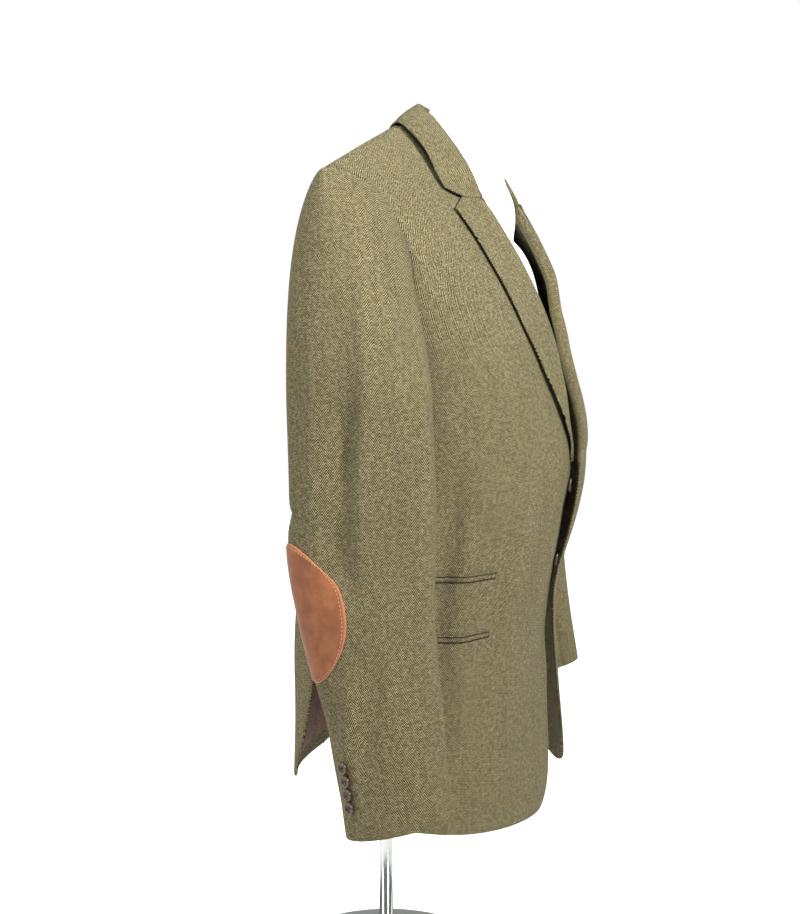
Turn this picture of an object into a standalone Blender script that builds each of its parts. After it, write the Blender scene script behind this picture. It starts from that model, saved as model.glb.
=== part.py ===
"""A tweed hacking jacket, hanging open on a limbless dress form and its stand.

Run with: blender --background --python part.py

Metres, +Z up. The origin is on the stand's underside, on the axis of its pole.
The jacket faces -Y, so its wearer's right side is -X and the left side is +X.
Heights in the tables are measured up from the jacket's hem.
"""

import math

import bmesh
import bpy
from mathutils import Vector

# ---------------------------------------------------------------- driving sizes

HEM = 0.300            # height of the jacket's hem above the floor
ARM = 0.490            # height of the underarm above the hem
CLOTH = 0.0020         # wall of a tweed panel
FACING = 0.0014        # wall of the facing inside each front
LINING = 0.0010        # wall of the lining
SEAM = 0.0006          # gap between two pieces that are sewn together
PLY = 0.0004           # gap between two layers that lie on each other
EASE = 0.0010          # gap between the lining and its panel

RIDGE_TOP = 0.790      # height that the two shoulder lines would reach at the centre
RIDGE_SLOPE = 0.40     # drop of a shoulder line for each metre out
RIDGE_BACK = -0.057    # front-to-back place of the shoulder lines at the centre
RIDGE_SWING = 0.157    # how far they swing back for each metre out
YOKE_WIDTH = 0.247     # half width that the shoulders would have with no armhole

BREAK = 0.375          # height at which the lapels start to fold
GORGE = 0.672          # height of the gorge seam on the roll line
ROLL_WIDTH = 0.071     # half width of the neck opening at the gorge
CORNER = 0.066         # radius of the rounded front corners
ROUND_TOP = 0.120      # height below which the rows of a front follow its corner
VENT = 0.240           # length of each side vent
HEM_TURN = 0.018       # height of the tweed turned up inside the hem
LINING_TOP = 0.300     # the lining is made up to this height

FRONT_SEAM = 76.0      # place of the seam between front and side, in degrees
BACK_SEAM = 116.0      # place of the seam between side and back

# Sections of the body up to the underarm.
BODY = (
    # height, centre_y, half_width, front_depth, back_depth
    (0.000, -0.052, 0.225, 0.145, 0.139),
    (0.100, -0.054, 0.222, 0.144, 0.138),
    (0.200, -0.060, 0.213, 0.145, 0.143),
    (0.300, -0.072, 0.201, 0.152, 0.142),
    (0.380, -0.078, 0.197, 0.154, 0.138),
    (0.440, -0.074, 0.202, 0.150, 0.136),
    (0.490, -0.070, 0.208, 0.146, 0.134),
)
SQUARENESS = 2.3       # of a section: 2 is an ellipse
CHEST_FALL = 1.45      # roundness of the chest up to the shoulder line
BACK_FALL = 1.7        # roundness of the upper back

# The armhole seam, from the shoulder point down to the underarm.
ARMHOLE = (
    # turn, level, front_angle, back_angle
    (0.00, 1.000, 70.0, 110.0),
    (0.15, 0.955, 61.0, 114.0),
    (0.30, 0.840, 55.0, 118.0),
    (0.50, 0.600, 59.0, 120.0),
    (0.70, 0.330, 69.0, 118.0),
    (0.85, 0.120, 79.0, 110.0),
    (1.00, 0.000, 92.0, 92.0),
)

# The free edge of each front, out from the centre line; plus is towards its own side.
FRONT_EDGE = (
    # height, right, left
    (-0.050, -0.018, 0.060),
    (0.020, -0.018, 0.057),
    (0.100, -0.024, 0.048),
    (0.150, -0.034, 0.042),
    (0.200, -0.042, 0.034),
    (0.240, -0.045, 0.025),
    (0.280, -0.041, 0.013),
    (0.340, -0.024, -0.002),
    (0.375, -0.006, -0.006),
)

# The hem, which hangs lowest at the fronts.
HEMLINE = (
    # angle, height
    (-8.0, -0.044),
    (20.0, -0.032),
    (40.0, -0.022),
    (64.0, -0.008),
    (76.0, -0.003),
    (100.0, 0.008),
    (118.0, 0.016),
    (138.0, 0.016),
    (160.0, 0.003),
    (180.0, -0.004),
)

# The sleeve below its head, as rings about the arm's line.
SLEEVE = (
    # height, centre_x, centre_y, half_thickness, half_width, front_rise
    (0.455, 0.262, -0.066, 0.047, 0.077, 0.000),
    (0.360, 0.266, -0.071, 0.045, 0.078, 0.000),
    (0.300, 0.270, -0.072, 0.044, 0.078, 0.002),
    (0.240, 0.274, -0.080, 0.043, 0.072, 0.006),
    (0.190, 0.277, -0.089, 0.042, 0.065, 0.010),
    (0.120, 0.281, -0.104, 0.040, 0.057, 0.014),
    (0.036, 0.285, -0.118, 0.038, 0.0555, 0.017),
)
LEFT_FORWARD = 0.014   # the left cuff hangs this much further forward

# The collar, from the centre back round to the gorge.
COLLAR = (
    # station, fold_x, fold_y, fold_z, edge_x, edge_y, edge_z
    (0.00, 0.000, -0.041, 0.799, 0.000, -0.014, 0.766),
    (0.20, 0.034, -0.052, 0.792, 0.048, -0.022, 0.765),
    (0.40, 0.058, -0.078, 0.774, 0.084, -0.048, 0.766),
    (0.60, 0.069, -0.104, 0.746, 0.107, -0.084, 0.735),
    (0.80, 0.072, -0.128, 0.712, 0.118, -0.104, 0.703),
    (1.00, 0.071, -0.146, 0.679, 0.119, -0.114, 0.687),
)

# The dress form, smooth and whole, well inside the cloth.
FORM = (
    # height, centre_y, half_width, front_depth, back_depth
    (0.200, -0.066, 0.160, 0.112, 0.112),
    (0.300, -0.074, 0.157, 0.114, 0.108),
    (0.380, -0.078, 0.160, 0.118, 0.108),
    (0.460, -0.074, 0.176, 0.121, 0.112),
    (0.540, -0.070, 0.184, 0.119, 0.110),
    (0.590, -0.067, 0.185, 0.112, 0.102),
    (0.622, -0.063, 0.181, 0.101, 0.094),
    (0.645, -0.060, 0.176, 0.082, 0.084),
    (0.668, -0.056, 0.162, 0.070, 0.072),
    (0.690, -0.052, 0.142, 0.057, 0.058),
    (0.710, -0.050, 0.116, 0.044, 0.044),
    (0.724, -0.050, 0.088, 0.032, 0.032),
)
NECK = (
    # height, centre_y, half_width, front_depth, back_depth
    (0.630, -0.088, 0.064, 0.070, 0.050),
    (0.659, -0.088, 0.062, 0.074, 0.050),
    (0.680, -0.090, 0.058, 0.069, 0.046),
    (0.709, -0.092, 0.054, 0.055, 0.042),
    (0.775, -0.095, 0.049, 0.050, 0.040),
    (0.792, -0.096, 0.045, 0.046, 0.037),
)

POLE_RADIUS = 0.0088
BASE_RADIUS = 0.165
BASE_EDGE = 0.008
BASE_CROWN = 0.022

# ---------------------------------------------------------------- colours

TWEED = ((0.235, 0.205, 0.110), 0.92, 0.0)
TWEED_DARK = ((0.150, 0.130, 0.070), 0.92, 0.0)
SUEDE = ((0.370, 0.150, 0.075), 0.85, 0.0)
SATIN = ((0.330, 0.105, 0.035), 0.45, 0.0)
HORN = ((0.075, 0.045, 0.032), 0.35, 0.0)
FORM_WHITE = ((0.860, 0.855, 0.840), 0.60, 0.0)
CHROME = ((0.780, 0.790, 0.800), 0.12, 1.0)

SIDES = (("right", -1), ("left", 1))

parts = None
cutters = None


def material(name, finish):
    """A plain Principled material."""
    made = bpy.data.materials.get(name)
    if made is None:
        colour, roughness, metallic = finish
        made = bpy.data.materials.new(name)
        made.use_nodes = True
        shader = made.node_tree.nodes["Principled BSDF"]
        shader.inputs["Base Color"].default_value = (*colour, 1.0)
        shader.inputs["Roughness"].default_value = roughness
        shader.inputs["Metallic"].default_value = metallic
    return made


# ---------------------------------------------------------------- numbers


def track(table, at):
    """The other columns of a table at a value of its first one, on a smooth curve."""
    last = len(table) - 1
    at = min(max(at, table[0][0]), table[last][0])
    i = 0
    while i < last - 1 and at > table[i + 1][0]:
        i += 1
    low, high = table[i], table[i + 1]
    before, after = table[max(i - 1, 0)], table[min(i + 2, last)]
    span = high[0] - low[0]
    t = (at - low[0]) / span
    out = []
    for c in range(1, len(low)):
        step = (high[c] - low[c]) / span
        start = (high[c] - before[c]) / (high[0] - before[0]) if i > 0 else step
        end = (after[c] - low[c]) / (after[0] - low[0]) if i < last - 1 else step
        out.append((2 * t**3 - 3 * t**2 + 1) * low[c] + (t**3 - 2 * t**2 + t) * span * start
                   + (3 * t**2 - 2 * t**3) * high[c] + (t**3 - t**2) * span * end)
    return out


def mix(a, b, t):
    return a + (b - a) * t


def smooth(low, high, value):
    """0 below low, 1 above high, and a soft step between them."""
    t = min(max((value - low) / (high - low), 0.0), 1.0)
    return t * t * (3 - 2 * t)


def power(value, exponent):
    """A power that keeps its sign."""
    return math.copysign(abs(value) ** exponent, value)


# ---------------------------------------------------------------- the body's surface


def ridge_z(x):
    return RIDGE_TOP - RIDGE_SLOPE * (math.sqrt(x * x + 1e-4) - 0.01)


def ridge_y(x):
    return RIDGE_BACK + RIDGE_SWING * math.sqrt(x * x + 1e-4)


def section(level):
    """Half width, front depth, back depth and squareness of the body at a level.

    A level of 0 to 1 runs from the hem to the underarm, and 1 to 2 from there to
    the shoulder lines, where front and back meet.
    """
    rise = min(max(level - 1.0, 0.0), 1.0)
    centre, half_width, front, back = track(BODY, min(level, 1.0) * ARM)
    if rise > 0.0:
        half_width = mix(half_width, YOKE_WIDTH, rise)
        front *= max(1 - rise**CHEST_FALL, 0.0) ** (1 / CHEST_FALL)
        back *= max(1 - rise**BACK_FALL, 0.0) ** (1 / BACK_FALL)
    return centre, half_width, front, back, mix(SQUARENESS, 2.6, rise), rise


def skin(angle, level):
    """A point of the body's outer face on the +X half; angle 0 is the centre front."""
    centre, half_width, front, back, square, rise = section(level)
    turn = math.radians(angle)
    x = half_width * power(math.sin(turn), 2 / square)
    depth = power(math.cos(turn), 2 / square)
    y = mix(centre, ridge_y(x), rise) - (front if depth > 0 else back) * depth
    z = mix(ARM, ridge_z(x), rise) if rise > 0.0 else level * ARM
    return Vector((x, y, z))


def skin_normal(angle, level):
    """The outward normal of the body there."""
    if level > 1.999:
        along = Vector((1, RIDGE_SWING, -RIDGE_SLOPE)).normalized()
        return (Vector((0, 0, 1)) - along * along.z).normalized()
    step = 0.0005
    around = skin(angle + 0.2, level) - skin(angle - 0.2, level)
    up = skin(angle, level + step) - skin(angle, level - step)
    return around.cross(up).normalized()


def body_point(angle, level, side, lift=0.0):
    """A point at a height over the body, with its normal, on one side of it."""
    normal = skin_normal(angle, level)
    point = skin(angle, level) + normal * lift
    flip = Vector((side, 1, 1))
    return point * flip + Vector((0, 0, HEM)), normal * flip


def angle_at(x, level):
    """The front angle at which the body is x out from its centre line."""
    centre, half_width, front, back, square, rise = section(level)
    return math.degrees(math.asin(power(max(min(x / half_width, 1.0), -1.0), square / 2)))


def level_at(x, height):
    """The level at which the body is at a height, x out from its centre line."""
    if height <= ARM:
        return height / ARM
    return 1.0 + (height - ARM) / (ridge_z(x) - ARM)


def front_point(x, height, side, lift):
    """A point over the front, placed by its distance from the centre and its height."""
    level = level_at(x, height)
    return body_point(angle_at(x, level), level, side, lift)


def armhole_angles(rise):
    """The front and back angles of the armhole seam at a rise above the underarm."""
    low, high = 0.0, 1.0
    for _ in range(30):
        middle = (low + high) / 2
        level, front, back = track(ARMHOLE, middle)
        low, high = (middle, high) if level > rise else (low, middle)
    return front, back


# ---------------------------------------------------------------- making cloth


def finish(name, mesh, look):
    """Link a mesh as a smooth-shaded part with its own material."""
    mesh.materials.append(material(name + "_finish", look))
    mesh.shade_smooth()
    mesh.set_sharp_from_angle(angle=math.radians(50))
    made = bpy.data.objects.new(name, mesh)
    parts.objects.link(made)
    return made


def trim(rows, start, end, first, last):
    """Draw the sewn edges of a sheet back by half a seam's gap."""
    def pull(edge, inner):
        edge[0][:] = edge[0] + (inner[0] - edge[0]).normalized() * (SEAM / 2)
    if start:
        for row in rows:
            pull(row[0], row[1])
    if end:
        for row in rows:
            pull(row[-1], row[-2])
    if first:
        for edge, inner in zip(rows[0], rows[1]):
            pull(edge, inner)
    if last:
        for edge, inner in zip(rows[-1], rows[-2]):
            pull(edge, inner)


def cloth(name, rows, thickness, look, sewn=(False, False, False, False)):
    """Loft a wall through rows of (outer point, normal) pairs."""
    rows = [[(point.copy(), normal) for point, normal in row] for row in rows]
    trim(rows, *sewn)
    bm = bmesh.new()
    outer = [[bm.verts.new(point) for point, normal in row] for row in rows]
    inner = [[bm.verts.new(point - normal * thickness) for point, normal in row] for row in rows]
    tall, wide = len(rows), len(rows[0])
    for layer in (outer, inner):
        for r in range(tall - 1):
            for c in range(wide - 1):
                bm.faces.new((layer[r][c], layer[r][c + 1], layer[r + 1][c + 1], layer[r + 1][c]))
    rim = [(0, c) for c in range(wide)] + [(r, wide - 1) for r in range(1, tall)]
    rim += [(tall - 1, c) for c in range(wide - 2, -1, -1)] + [(r, 0) for r in range(tall - 2, 0, -1)]
    for (r, c), (s, d) in zip(rim, rim[1:] + rim[:1]):
        bm.faces.new((outer[r][c], outer[s][d], inner[s][d], inner[r][c]))
    bmesh.ops.recalc_face_normals(bm, faces=bm.faces)
    mesh = bpy.data.meshes.new(name)
    bm.to_mesh(mesh)
    bm.free()
    return finish(name, mesh, look)


# ---------------------------------------------------------------- fronts

FRONT_COLUMNS = (0.0, 0.025, 0.08, 0.18, 0.32, 0.46, 0.60, 0.74, 0.88, 1.0)
LOWER_HEIGHTS = (0.0, 0.06, 0.12, 0.17, 0.21, 0.25, 0.29, 0.33, 0.375, 0.43, 0.49)
DOME_TURNS = (15, 30, 45, 59, 72, 82, 90)
LOWER_LEVELS = tuple(height / ARM for height in LOWER_HEIGHTS)
DOME_LEVELS = tuple(1 + math.sin(math.radians(turn)) for turn in DOME_TURNS)


def front_edge(height, side):
    """Distance of a front's free edge or roll line from the centre line."""
    if height <= BREAK:
        right, left = track(FRONT_EDGE, height)
        return left if side > 0 else right
    lowest = front_edge(BREAK, side)
    t = min((height - BREAK) / (GORGE - BREAK), 1.0)
    return mix(lowest, ROLL_WIDTH, t ** 0.94)


def inner_angle(level, side):
    """The angle of the free edge or roll line at a level."""
    x = 0.03
    for _ in range(12):
        height = level * ARM if level <= 1 else mix(ARM, ridge_z(x), level - 1)
        x = front_edge(height, side)
    return angle_at(x, level)


def outer_angle(level):
    """The angle of the front's other edge: the side seam, then the armhole."""
    if level <= 1:
        return FRONT_SEAM
    return min(FRONT_SEAM, armhole_angles(level - 1)[0])


def corner_rise(out):
    """How far the rounded corner lifts the hem, at a distance from the free edge."""
    if out >= CORNER:
        return 0.0
    return CORNER - math.sqrt(CORNER**2 - (CORNER - out)**2)


def lap(angle, level, side):
    """How far a front stands away from the body near its edge.

    The left front laps over the right one at the waist, and both flare at the hem.
    """
    height = level * ARM
    near = 1 - smooth(4, 46, angle)
    if side < 0:
        turned_in = smooth(0.10, 0.17, height) * (1 - smooth(0.31, 0.37, height))
        flare = 1 - smooth(-0.05, 0.17, height)
        return 0.010 * flare * near - 0.006 * turned_in * (1 - smooth(-4, 7, angle))
    flare = 1 - smooth(-0.05, 0.26, height)
    waist = smooth(0.20, 0.36, height) * (1 - smooth(0.40, 0.52, height))
    chest = smooth(0.58, 0.67, height) * (1 - smooth(1.85, 2.0, level))
    return (0.013 * waist + 0.008 * chest + 0.025 * flare) * near


def hung(angle, level, foot=0.0):
    """Draw a low level towards the hanging line of the hem."""
    height = level * ARM
    if height >= ROUND_TOP:
        return level
    return mix(track(HEMLINE, angle)[0] + foot, ROUND_TOP, height / ROUND_TOP) / ARM


def front_place(share, level, side):
    """Angle and level of a front, at a share of its width; low rows follow its corner."""
    angle = mix(inner_angle(level, side), outer_angle(level), share)
    if level * ARM < ROUND_TOP:
        out = abs(skin(angle, level).x - skin(inner_angle(level, side), level).x)
        level = hung(angle, level, corner_rise(out))
        angle = mix(inner_angle(level, side), outer_angle(level), share)
    return angle, level


def front_sheet(side, columns, levels, lift):
    rows = []
    for level in levels:
        row = []
        for share in columns:
            angle, at = front_place(share, level, side)
            row.append(body_point(angle, at, side, lift + lap(angle, at, side)))
        rows.append(row)
    return rows


def build_front(word, side):
    rows = front_sheet(side, FRONT_COLUMNS, LOWER_LEVELS + DOME_LEVELS, 0.0)
    cloth("front." + word, rows, CLOTH, TWEED, (False, True, False, True))


FACING_COLUMNS = (0.0, 0.025, 0.08, 0.18, 0.32, 0.46)
LINING_COLUMNS = (0.47, 0.60, 0.74, 0.88, 1.0)
LINING_HEIGHTS = (HEM_TURN, 0.06, 0.12, 0.17, 0.21, 0.25, LINING_TOP)


def build_facing(word, side):
    """The tweed facing inside each front's edge and roll line."""
    levels = LOWER_LEVELS + tuple(level for level in DOME_LEVELS if level < 1.9)
    rows = front_sheet(side, FACING_COLUMNS, levels, -CLOTH - PLY)
    cloth("facing." + word, rows, FACING, TWEED_DARK)


def build_front_lining(word, side):
    """The lining between the facing and the side seam, above the turned-up hem."""
    levels = tuple(height / ARM for height in LINING_HEIGHTS)
    rows = front_sheet(side, LINING_COLUMNS, levels, -CLOTH - EASE)
    cloth("front_lining." + word, rows, LINING, SATIN, (False, True, False, False))


# ---------------------------------------------------------------- sides and back


def side_rear(level):
    """The rear edge of the side panel: the seam, then the open vent."""
    opening = max(1 - level * ARM / VENT, 0.0)
    return BACK_SEAM - 20 * opening**1.2


def back_start(level):
    """The side edge of the back: the vent, the seam, then the armhole."""
    if level > 1:
        return max(BACK_SEAM, armhole_angles(level - 1)[1])
    opening = max(1 - level * ARM / 0.20, 0.0)
    return BACK_SEAM + 21 * opening**2.2


def underarm_level(angle):
    """The level of the armhole's lowest stretch over the side panel."""
    low, high = 0.85, 1.0
    for _ in range(30):
        middle = (low + high) / 2
        rise, front, back = track(ARMHOLE, middle)
        outside = front < angle if angle < 90 else back > angle
        low, high = (middle, high) if outside else (low, middle)
    return 1.0 + track(ARMHOLE, (low + high) / 2)[0]


SIDE_COLUMNS = (0.0, 0.17, 0.34, 0.5, 0.67, 0.84, 1.0)


def side_row(level, side, lift, top=0.0):
    """A row of the side panel; its last rows are drawn towards the armhole."""
    row = []
    for share in SIDE_COLUMNS:
        angle = mix(FRONT_SEAM, side_rear(level), share)
        at = mix(level, underarm_level(angle), top) if top else hung(angle, level)
        row.append(body_point(angle, at, side, lift))
    return row


def build_side(word, side):
    rows = [side_row(height / ARM, side, 0.0) for height in LOWER_HEIGHTS[:-1]]
    last = LOWER_HEIGHTS[-2] / ARM
    rows += [side_row(last, side, 0.0, top) for top in (0.3, 0.55, 0.8, 1.0)]
    cloth("side." + word, rows, CLOTH, TWEED, (True, True, False, True))
    rows = [side_row(height / ARM, side, -CLOTH - EASE) for height in LINING_HEIGHTS]
    cloth("side_lining." + word, rows, LINING, SATIN, (True, True, False, False))


NAPE = 0.780           # height of the neck seam at the centre back
NECK_SIDE = 0.074      # half width of the neck seam at the shoulder line
BACK_COLUMNS = (0.0, 0.14, 0.28, 0.42, 0.56, 0.70, 0.85, 1.0)


def back_end(level):
    """The centre seam, then the neckline."""
    nape = level_at(0.0, NAPE)
    if level <= nape:
        return 180.0
    x = NECK_SIDE * math.sqrt((level - nape) / (2 - nape))
    return 180 - angle_at(x, level)


def build_back(word, side):
    nape = level_at(0.0, NAPE)
    levels = LOWER_LEVELS + DOME_LEVELS[:3] + (mix(DOME_LEVELS[2], nape, 0.55), nape,
                                               mix(nape, 2, 0.25), mix(nape, 2, 0.62), 2.0)
    rows = []
    for level in levels:
        row = []
        for share in BACK_COLUMNS:
            angle = mix(back_start(level), back_end(level), share)
            row.append(body_point(angle, hung(angle, level), side))
        rows.append(row)
    cloth("back." + word, rows, CLOTH, TWEED, (True, True, False, True))


def build_back_lining():
    rows = []
    for height in LINING_HEIGHTS:
        level = height / ARM
        angles = [mix(back_start(level), 180.0, max(share, 0.01)) for share in BACK_COLUMNS]
        places = [(angle, hung(angle, level)) for angle in angles]
        row = [body_point(*place, -1, -CLOTH - EASE) for place in places]
        row += [body_point(*place, 1, -CLOTH - EASE) for place in places[-2::-1]]
        rows.append(row)
    cloth("back_lining", rows, LINING, SATIN)


# ---------------------------------------------------------------- sleeves

HEAD_STEPS = (0.0, 0.12, 0.28, 0.48, 0.72, 1.0)


def sleeve_ring(turn, row):
    """A point of a ring of the sleeve: turn 0 is outside, 0.25 behind, 0.75 in front."""
    height, centre_x, centre_y, half_thickness, half_width, rise = row
    around = 2 * math.pi * turn
    x = centre_x + half_thickness * power(math.cos(around), 0.92)
    y = centre_y + half_width * power(math.sin(around), 0.92)
    z = height - rise * power(math.sin(around), 0.92)
    return Vector((x, y, z))


def armhole_point(turn):
    """The armhole seam that the sleeve is set into."""
    front = turn > 0.5
    along = (1 - turn) * 2 if front else turn * 2
    rise, front_angle, back_angle = track(ARMHOLE, along)
    return skin(front_angle if front else back_angle, 1 + rise)


def armhole_normal(turn):
    """The body's normal at the armhole seam, which both sewn edges share."""
    front = turn % 1.0 > 0.5
    share = (1 - turn % 1.0) * 2 if front else turn % 1.0 * 2
    rise, front_angle, back_angle = track(ARMHOLE, share)
    return skin_normal(front_angle if front else back_angle, 1 + rise)


def sleeve_place(turn, along):
    """A point of the sleeve: along runs 0 to 1 over its head, then 1 to 2 to the cuff."""
    turn %= 1.0
    if along >= 1:
        height = mix(SLEEVE[0][0], SLEEVE[-1][0], min(along - 1, 1.0))
        table = tuple(reversed(SLEEVE))
        return sleeve_ring(turn, [height] + track(table, height))
    start = armhole_point(turn)
    end = sleeve_ring(turn, SLEEVE[0])
    top = (1 + math.cos(2 * math.pi * turn)) / 2
    behind = max(math.sin(2 * math.pi * turn), 0.0)
    out = Vector((mix(0.030, 0.075, top), 0.055 * behind, mix(-0.030, 0.018, top)))
    down = Vector((mix(0.0, 0.004, top), -0.004, -mix(0.030, 0.300, top**0.8)))
    t = along
    return ((2 * t**3 - 3 * t**2 + 1) * start + (t**3 - 2 * t**2 + t) * out
            + (3 * t**2 - 2 * t**3) * end + (t**3 - t**2) * down)


def sleeve_point(turn, along, side, lift=0.0):
    step = 0.004
    back = min(along, 1.995)
    around = sleeve_place(turn + step, along) - sleeve_place(turn - step, along)
    down = sleeve_place(turn, back + step) - sleeve_place(turn, max(back - step, 0.0))
    normal = around.cross(down).normalized()
    if normal.dot(sleeve_place(turn, along) - sleeve_axis(along)) < 0:
        normal.negate()
    if along < 0.01:
        weight = smooth(-0.1, 0.7, math.cos(2 * math.pi * turn))
        normal = normal.lerp(armhole_normal(turn), weight).normalized()
    point = sleeve_place(turn, along) + normal * lift
    if side > 0:
        point.y -= LEFT_FORWARD * smooth(0.8, 1.3, along)
    flip = Vector((side, 1, 1))
    return point * flip + Vector((0, 0, HEM)), normal * flip


def sleeve_axis(along):
    """The middle of the sleeve."""
    corners = [sleeve_place(turn, along) for turn in (0.0, 0.25, 0.5, 0.75)]
    return sum(corners, Vector()) / 4


def sleeve_along(height):
    """How far down the sleeve a height is, below its head."""
    return 1 + (SLEEVE[0][0] - height) / (SLEEVE[0][0] - SLEEVE[-1][0])


def armhole_turn(rise, front):
    """The turn of the sleeve at a rise up one side of the armhole."""
    low, high = 0.0, 1.0
    for _ in range(30):
        middle = (low + high) / 2
        low, high = (middle, high) if track(ARMHOLE, middle)[0] > rise else (low, middle)
    return 1 - low / 2 if front else low / 2


DOME_RISES = tuple(level - 1 for level in DOME_LEVELS)
HIND_SEAM = armhole_turn(DOME_RISES[1], False)
FORE_SEAM = armhole_turn(DOME_RISES[0], True)


def sleeve_turns(top):
    """Turns of the sleeve's columns, at the body panels' own points on the armhole."""
    behind = [armhole_turn(rise, False) for rise in DOME_RISES]
    ahead = [armhole_turn(rise, True) for rise in DOME_RISES]
    if top:
        return [turn - 1 for turn in ahead[:-1]] + [0.0] + behind[-2:0:-1]
    rises = []
    for share in reversed(SIDE_COLUMNS):
        angle = mix(FRONT_SEAM, BACK_SEAM, share)
        rises.append(armhole_turn(underarm_level(angle) - 1, angle < 90))
    return [behind[1], behind[0]] + rises + [ahead[0]]


SLEEVE_HEIGHTS = (0.41, 0.36, 0.32, 0.28, 0.24, 0.20, 0.16, 0.12, 0.078, 0.036)


def sleeve_sheet(side, turns):
    alongs = HEAD_STEPS + tuple(sleeve_along(height) for height in SLEEVE_HEIGHTS)
    return [[sleeve_point(turn, along, side) for turn in turns] for along in alongs]


def build_sleeve(word, side):
    for name, top in (("top_sleeve.", True), ("under_sleeve.", False)):
        rows = sleeve_sheet(side, sleeve_turns(top))
        cloth(name + word, rows, CLOTH, TWEED, (True, True, True, False))


PATCH_HEIGHT = 0.250   # height of the elbow patch's centre
PATCH_TURN = 0.165     # its turn, outside and behind
PATCH_HALF_TALL = 0.065
PATCH_HALF_TURN = 0.155


def build_patch(word, side):
    """An oval elbow patch, mapped from a square grid."""
    steps = [i / 4 - 1 for i in range(9)]
    rows = []
    for v in steps:
        row = []
        for u in steps:
            across = u * math.sqrt(1 - v * v / 2)
            down = v * math.sqrt(1 - u * u / 2)
            height = PATCH_HEIGHT - down * PATCH_HALF_TALL
            row.append(sleeve_point(PATCH_TURN + across * PATCH_HALF_TURN, sleeve_along(height),
                                    side, 0.0010 + 0.0012))
        rows.append(row)
    cloth("elbow_patch." + word, rows, 0.0012, SUEDE)


# ---------------------------------------------------------------- lapels and collar

LAPEL_LIFT = 0.0050    # height of the lapel's outer face over the front, at its edge
LAPEL_ROLL = 0.0100    # the same at the roll line, where it is softest
LAPEL_FOOT = 0.0048    # the same at the break

# Outer edge of the lapel, out from the centre line, against its height.
LAPEL_EDGE = (
    # height, out
    (0.378, 0.008),
    (0.400, 0.016),
    (0.440, 0.041),
    (0.470, 0.063),
    (0.500, 0.081),
    (0.530, 0.095),
    (0.560, 0.103),
    (0.600, 0.112),
    (0.640, 0.118),
    (0.662, 0.122),
)
NOTCH = (0.099, 0.676)     # inner point of the notch: out from the centre, and height


def lapel_rows(side):
    """Rows up the lapel, each from the roll line out to the edge."""
    rows = []
    heights = (0.382, 0.41, 0.45, 0.50, 0.55, 0.60, 0.635)
    for height in heights:
        out = track(LAPEL_EDGE, height)[0]
        fold = front_edge(height, side)
        rows.append([(mix(fold, out, share), height - 0.004 * share) for share in LAPEL_COLUMNS])
    fold = (front_edge(GORGE, side), GORGE)
    corner = (LAPEL_EDGE[-1][1], LAPEL_EDGE[-1][0])
    top = []
    for share in LAPEL_COLUMNS:
        if share <= 0.6:
            top.append(tuple(mix(a, b, share / 0.6) for a, b in zip(fold, NOTCH)))
        else:
            top.append(tuple(mix(a, b, (share - 0.6) / 0.4) for a, b in zip(NOTCH, corner)))
    rows.append(top)
    return rows


LAPEL_COLUMNS = (0.0, 0.12, 0.34, 0.6, 0.8, 1.0)


def build_lapel(word, side):
    rows = []
    for places in lapel_rows(side):
        row = []
        for share, (x, height) in zip(LAPEL_COLUMNS, places):
            level = level_at(x, height)
            roll = mix(LAPEL_FOOT, LAPEL_ROLL, smooth(BREAK, 0.47, height))
            lift = mix(roll, LAPEL_LIFT, smooth(0, 0.7, share))
            lift += lap(angle_at(x, level), level, side)
            row.append(front_point(x, height, side, lift))
        rows.append(row)
    cloth("lapel." + word, rows, CLOTH, TWEED, (False, False, False, True))


LEFT_PROUD = 0.007     # the collar's left end stands this much further forward


def collar_curve(station):
    """The fold and the outer edge of the collar at a station; 0 is the centre back."""
    row = track(COLLAR, abs(station))
    flip = Vector((math.copysign(1.0, station), 1, 1))
    ahead = Vector((0, LEFT_PROUD * smooth(0.45, 1.0, station), 0))
    return Vector(row[0:3]) * flip - ahead, Vector(row[3:6]) * flip - ahead


def collar_place(station, share):
    """A point of the fall, from its fold (0) to its outer edge (1)."""
    fold, edge = collar_curve(station)
    bulge = mix(0.003, 0.008, smooth(0.1, 0.6, abs(station))) * math.sin(math.pi * share)
    out = Vector((fold.x + edge.x, (fold.y + edge.y) / 2 + 0.085, 0)).normalized()
    up = Vector((0, 0, 1))
    return fold.lerp(edge, share) + (out * 0.5 + up).normalized() * bulge


def collar_normal(station, share):
    step = 0.01
    along = collar_place(min(station + step, 1), share) - collar_place(max(station - step, -1), share)
    across = collar_place(station, share + step) - collar_place(station, share - step)
    normal = along.cross(across).normalized()
    return normal if normal.z > 0 else -normal


STATIONS = tuple(i / 9 for i in range(-9, 10))


def gorge_point(share, side):
    """The collar's front end: along the gorge seam to the notch, then up to its corner."""
    if share <= 0.6:
        x = mix(ROLL_WIDTH, NOTCH[0], share / 0.6)
        height = mix(GORGE, NOTCH[1], share / 0.6)
        level = level_at(x, height)
        lift = mix(LAPEL_ROLL, LAPEL_LIFT, smooth(0, 0.7, share))
        lift += lap(angle_at(x, level), level, side)
        point, normal = front_point(x, height, side, lift)
        return point + Vector((0, 0, 0.0008)), normal
    start, normal = gorge_point(0.6, side)
    corner = collar_curve(side)[1] + Vector((0, 0, HEM))
    return start.lerp(corner, (share - 0.6) / 0.4), normal


def build_collar():
    rows = []
    for station in STATIONS:
        row = []
        for share in (0.0, 0.12, 0.34, 0.6, 0.8, 1.0):
            if abs(station) > 0.99:
                row.append(gorge_point(share, 1 if station > 0 else -1))
                continue
            point = collar_place(station, share)
            row.append((point + Vector((0, 0, HEM)), collar_normal(station, share)))
        rows.append(row)
    cloth("collar_fall", rows, CLOTH, TWEED)


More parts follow.
